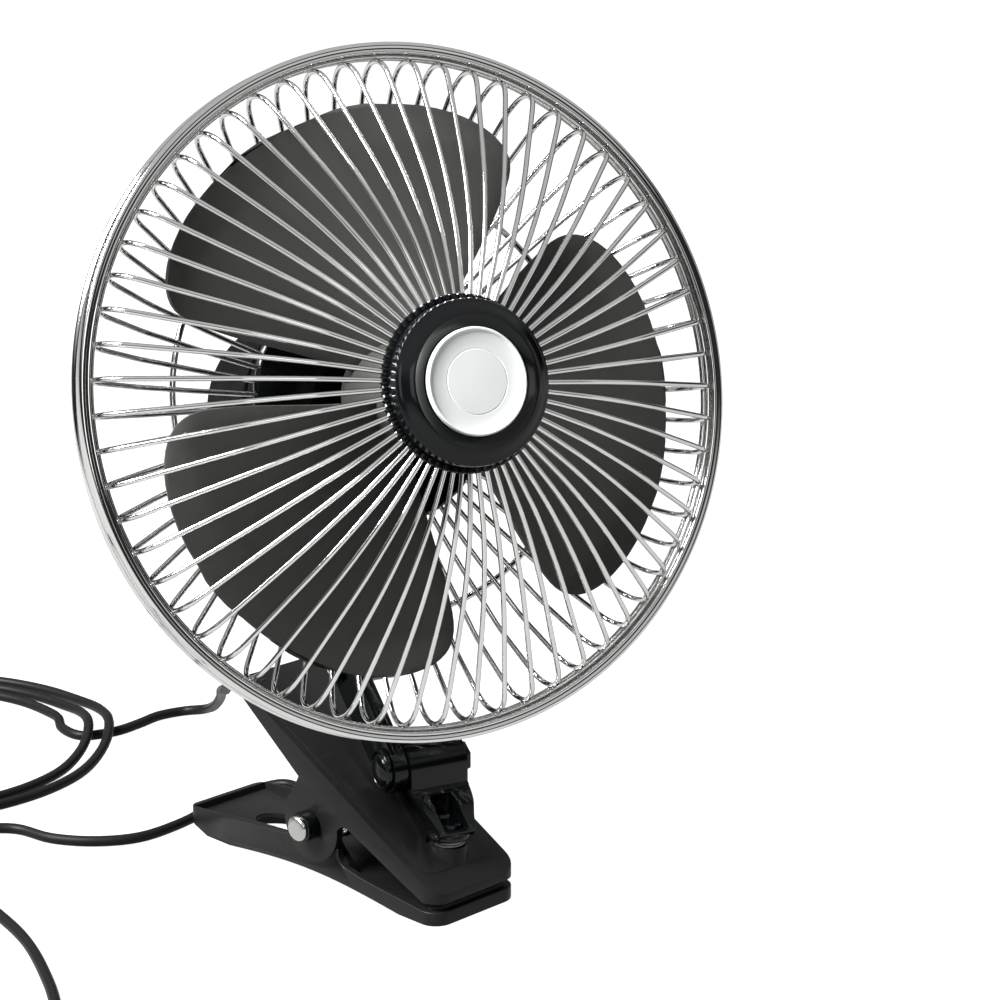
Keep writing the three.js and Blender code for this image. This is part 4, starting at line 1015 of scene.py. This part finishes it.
    def spring(self):
        """A close coil about the pivot, with one leg under the upper plate and one on the floor."""
        py, pz = self.pivot
        radius, turns, pitch, wire, reach = 6.5, 5, 2.4, 1.8, 21
        upper = (reach, self.ridge(py + reach, 5)[1] - pz)
        lower = (reach, 5.5 + wire / 2 - pz)
        start = math.atan2(upper[1], upper[0]) + math.acos(radius / math.hypot(*upper))
        end = (math.atan2(lower[1], lower[0]) - math.acos(radius / math.hypot(*lower))
               + TAU * (turns + 1))
        sweep = end - start
        half = pitch * sweep / (2 * TAU)
        steps = round(sweep / TAU * 40)
        coil = [(-half + 2 * half * i / steps, radius * math.cos(start + sweep * i / steps),
                 radius * math.sin(start + sweep * i / steps)) for i in range(steps + 1)]
        line = [(-half, *upper), *coil, (half, *lower)]
        spring = tube(
            "spring_wire", [Vector((x, py + y, pz + z)) * MM for x, y, z in line],
            wire / 2 * MM, 3)
        settle(spring, CLIP, "zinc plate", "base", ["torsion_spring"], 60)
        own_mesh(spring)

    def execute(self, context):
        self.upper_jaw()
        self.lower_jaw()
        self.pad("lower_pad_ribbed", "lower_pad", 4.4, 5.4, "base")
        self.pad("upper_pad_ribbed", "upper_pad", 5.7, 7.1, "clip_arm")
        self.spring()
        return {"FINISHED"}


class FAN_OT_hardware(bpy.types.Operator):
    """Finish the bolts, nuts, washers, collar, switch and motor"""

    bl_idname = "fan.hardware"
    bl_label = "Hardware"

    rounded = (  # node, piece, finish, body, slot, and the bevel's width
        ("pivot_collar", "pivot_spacer", "gloss black", "base", "black", 0.3),
        ("pivot_washer", "pivot_flat_washer", "zinc plate", "base", "steel", 0.15),
        ("pivot_nut", "pivot_hex_nut", "zinc plate", "base", "steel", 0.3),
        # the two washers under the knuckle take the steel darkened as painted shade
        ("swivel_washer_lower", "washer_below", "steel in painted shade", "clip_arm", "steel", 0.15),
        ("swivel_washer_upper", "washer_above", "steel in painted shade", "swivel", "steel", 0.15),
        # the swivel's screw and nut are steel; their gloss black finish is painted shade of the
        # knuckle's pocket
        ("swivel_stud", "swivel_screw", "gloss black", "swivel", "steel", 0.2),
        ("swivel_nut", "swivel_hex_nut", "gloss black", "swivel", "steel", 0.3),
        ("lower_bolt_nut", "lower_cap_nut", "gloss black", "swivel", "steel", 0.9),
        ("upper_bolt_nut", "upper_cap_nut", "gloss black", "head", "steel", 0.9),
        ("guard_screw_1", "plate_screw_1", "zinc plate", "head", "steel", 0.2),
        ("guard_screw_2", "plate_screw_2", "zinc plate", "head", "steel", 0.2),
        ("guard_screw_3", "plate_screw_3", "zinc plate", "head", "steel", 0.2),
        ("motor_shaft", "motor_spindle", "zinc plate", "rotor", "steel", 0.3),
        ("motor_can", "motor_case", "zinc plate", "head", "steel", 0.8),
        ("switch_frame", "switch_bezel", "gloss black", "head", "black", 0.35),
        ("switch_rocker", "rocker_key", "soft rubber", "rocker", "rubber", 0.5),
    )

    def hinge_bolt(self, name, node, place, body, end):
        """A domed head with a ringed edge outside the link, on a plain shank."""
        seat = -13.3  # the link's outer face
        head = turned(name, [
            (0, 3.2), (1.6, 3.12), (3.2, 2.75), (4.5, 2.05), (5.0, 1.6), (5.15, 1.2), (5.35, 1.2),
            (5.5, 1.55), (5.75, 1.75), (6.1, 1.65), (6.4, 1.3), (6.5, 0.9), (6.5, 0.25), (6.3, 0),
            (2.5, 0), (2.5, seat - end + 0.6), (2.0, seat - end), (0, seat - end)], 64)
        carry(head, axes((seat * MM, 0, 0), (0, 0, 1), (1, 0, 0)))
        settle(head, place, "gloss black", body, [node], 38)

    def rivet(self):
        """The pivot's bright cap and pin."""
        seat = -23  # just outside the collar
        length = -seat + 23.3
        cap = turned("rivet_cap", [
            (0, 1.6), (2.4, 1.58), (3.2, 1.45), (3.75, 1.1), (4.0, 0.6), (4.0, 0.2), (3.85, 0),
            (2, 0), (2, 0.5 - length), (1.6, -length), (0, -length)], 64)
        carry(cap, axes((seat * MM, 0, 0), (0, 0, 1), (1, 0, 0)))
        settle(cap, Matrix.Translation((0, PIVOT.y, PIVOT.z)), "zinc plate", "base",
               ["pivot_bolt"], 38)

    def execute(self, context):
        for name, node, place, body, end in (
            ("lower_hinge_bolt", "lower_bolt", LOWER_BOLT, "swivel", 15.1),
            ("upper_hinge_bolt", "upper_bolt", UPPER_BOLT, "head", 12.1),
        ):
            there = SWIVEL @ Matrix.Translation(SWIVEL.inverted() @ place)
            self.hinge_bolt(name, node, there, body, end)
        self.rivet()
        for node, name, material, body, slot, width in self.rounded:
            piece = from_node(node, name)
            bevelled(piece, width, 2, 35)
            settle(piece, CLIP, material, body, [node])
        return {"FINISHED"}


# ---------------------------------------------------------- the stage and the panel


class FAN_OT_stage(bpy.types.Operator):
    """Set the pale floor, the soft lights and the studio surroundings"""

    bl_idname = "fan.stage"
    bl_label = "Stage"

    floor_size = 16
    floor_drop = 0.1 * MM  # keeps the floor's face clear of the object's underside
    mirrored_floor = 0.6  # how bright the floor is in polished metal
    fill = (0.08, 0.08, 0.08, 1)  # the plain light from all round
    aim = Vector((0, 0.03, 0.13))  # what the lamps point at
    lamps = (  # name, place, size, power, and how strongly it shows in gloss
        ("side", (1.5, -1.25, 0.45), 1.0, 2, 3.0),
        ("left", (-1.25, 0.45, 1.5), 0.9, 170, 0.13),
        ("front", (-1.3, -1.5, 0.9), 0.8, 4, 1.0),
    )

    def floor(self, colours):
        deselect()
        bpy.ops.mesh.primitive_plane_add(size=self.floor_size, location=(0, 0, -self.floor_drop))
        floor = named(bpy.context.active_object, "floor")
        material = bpy.data.materials.new("pale floor")
        material.use_nodes = True
        tree = material.node_tree
        shader = tree.nodes["Principled BSDF"]
        shader.inputs["Base Color"].default_value = (*colours.floor, 1)
        shader.inputs["Roughness"].default_value = 0.9
        shader.inputs["Specular IOR Level"].default_value = 0.0
        shader.inputs["Emission Color"].default_value = (1, 1, 1, 1)
        rays = shader_node(tree, "ShaderNodeLightPath")
        mirrored = shader_node(
            tree, "ShaderNodeMath", {1: self.mirrored_floor}, operation="MULTIPLY")
        seen = shader_node(tree, "ShaderNodeMath", operation="MAXIMUM")
        connect(
            tree,
            (rays, "Is Glossy Ray", mirrored, 0), (rays, "Is Camera Ray", seen, 0),
            (mirrored, "Value", seen, 1), (seen, "Value", shader, "Emission Strength"))
        floor.data.materials.append(material)

    def surroundings(self):
        """White to the eye, a bright ceiling over a dark wall to gloss, plain light to the rest."""
        world = bpy.data.worlds.new("studio")
        world.use_nodes = True
        bpy.context.scene.world = world
        tree = world.node_tree
        tree.nodes.clear()
        place = shader_node(tree, "ShaderNodeTexCoord")
        split = shader_node(tree, "ShaderNodeSeparateXYZ")
        ramp = shader_node(tree, "ShaderNodeValToRGB")
        stops = ramp.color_ramp.elements
        stops[0].position, stops[0].color = 0.0, (0.6, 0.6, 0.6, 1)
        stops[1].position, stops[1].color = 1.0, (0.62, 0.62, 0.63, 1)
        for position, shade in ((0.02, 0.6), (0.05, 0.02), (0.34, 0.03), (0.5, 0.65)):
            stops.new(position).color = (shade, shade, shade, 1)
        rays = shader_node(tree, "ShaderNodeLightPath")
        mirror = shader_node(tree, "ShaderNodeMix", {"A": self.fill}, data_type="RGBA")
        seen = shader_node(tree, "ShaderNodeMix", {"B": (1, 1, 1, 1)}, data_type="RGBA")
        light = shader_node(tree, "ShaderNodeBackground")
        end = shader_node(tree, "ShaderNodeOutputWorld")
        connect(
            tree,
            (place, "Generated", split, "Vector"), (split, "Z", ramp, "Fac"),
            (rays, "Is Glossy Ray", mirror, "Factor"), (ramp, "Color", mirror, "B"),
            (rays, "Is Camera Ray", seen, "Factor"), (mirror, "Result", seen, "A"),
            (seen, "Result", light, "Color"), (light, "Background", end, "Surface"))

    def execute(self, context):
        self.floor(context.scene.fan_colours)
        self.surroundings()
        for name, place, size, power, shine in self.lamps:
            data = bpy.data.lights.new(name, "AREA")
            data.size = size
            data.energy = power
            data.specular_factor = shine
            lamp = bpy.data.objects.new(name, data)
            context.scene.collection.objects.link(lamp)
            lamp.location = place
            toward = self.aim - Vector(place)
            lamp.rotation_mode = "QUATERNION"
            lamp.rotation_quaternion = toward.to_track_quat("-Z", "Y")
        context.scene.view_settings.view_transform = "Standard"
        return {"FINISHED"}


class FAN_PT_panel(bpy.types.Panel):
    """Lists the fan's sizes, colours and pieces"""

    bl_idname = "FAN_PT_panel"
    bl_label = "Clip-on fan"
    bl_space_type = "VIEW_3D"
    bl_region_type = "UI"
    bl_category = "Clip fan"

    def draw(self, context):
        for group in (context.scene.fan_sizes, context.scene.fan_colours):
            box = self.layout.box()
            for key in group.__annotations__:
                box.prop(group, key)
        for operator in OPERATORS:
            self.layout.operator(operator.bl_idname)


OPERATORS = (
    FAN_OT_camera,
    FAN_OT_cord,
    FAN_OT_rim,
    FAN_OT_wires,
    FAN_OT_hub,
    FAN_OT_rotor,
    FAN_OT_housing,
    FAN_OT_neck,
    FAN_OT_clip,
    FAN_OT_hardware,
    FAN_OT_stage,
)
CLASSES = (FanSizes, FanColours, *OPERATORS, FAN_PT_panel)


# ---------------------------------------------------------- the start


def register():
    for kind in CLASSES:
        bpy.utils.register_class(kind)
    bpy.types.Scene.fan_sizes = PointerProperty(type=FanSizes)
    bpy.types.Scene.fan_colours = PointerProperty(type=FanColours)


def unregister():
    del bpy.types.Scene.fan_sizes
    del bpy.types.Scene.fan_colours
    for kind in reversed(CLASSES):
        bpy.utils.unregister_class(kind)


def main():
    register()
    make_finishes(bpy.context.scene.fan_colours)
    for operator in OPERATORS:
        group, name = operator.bl_idname.split(".")
        getattr(getattr(bpy.ops, group), name)()


if __name__ == "__main__":
    main()
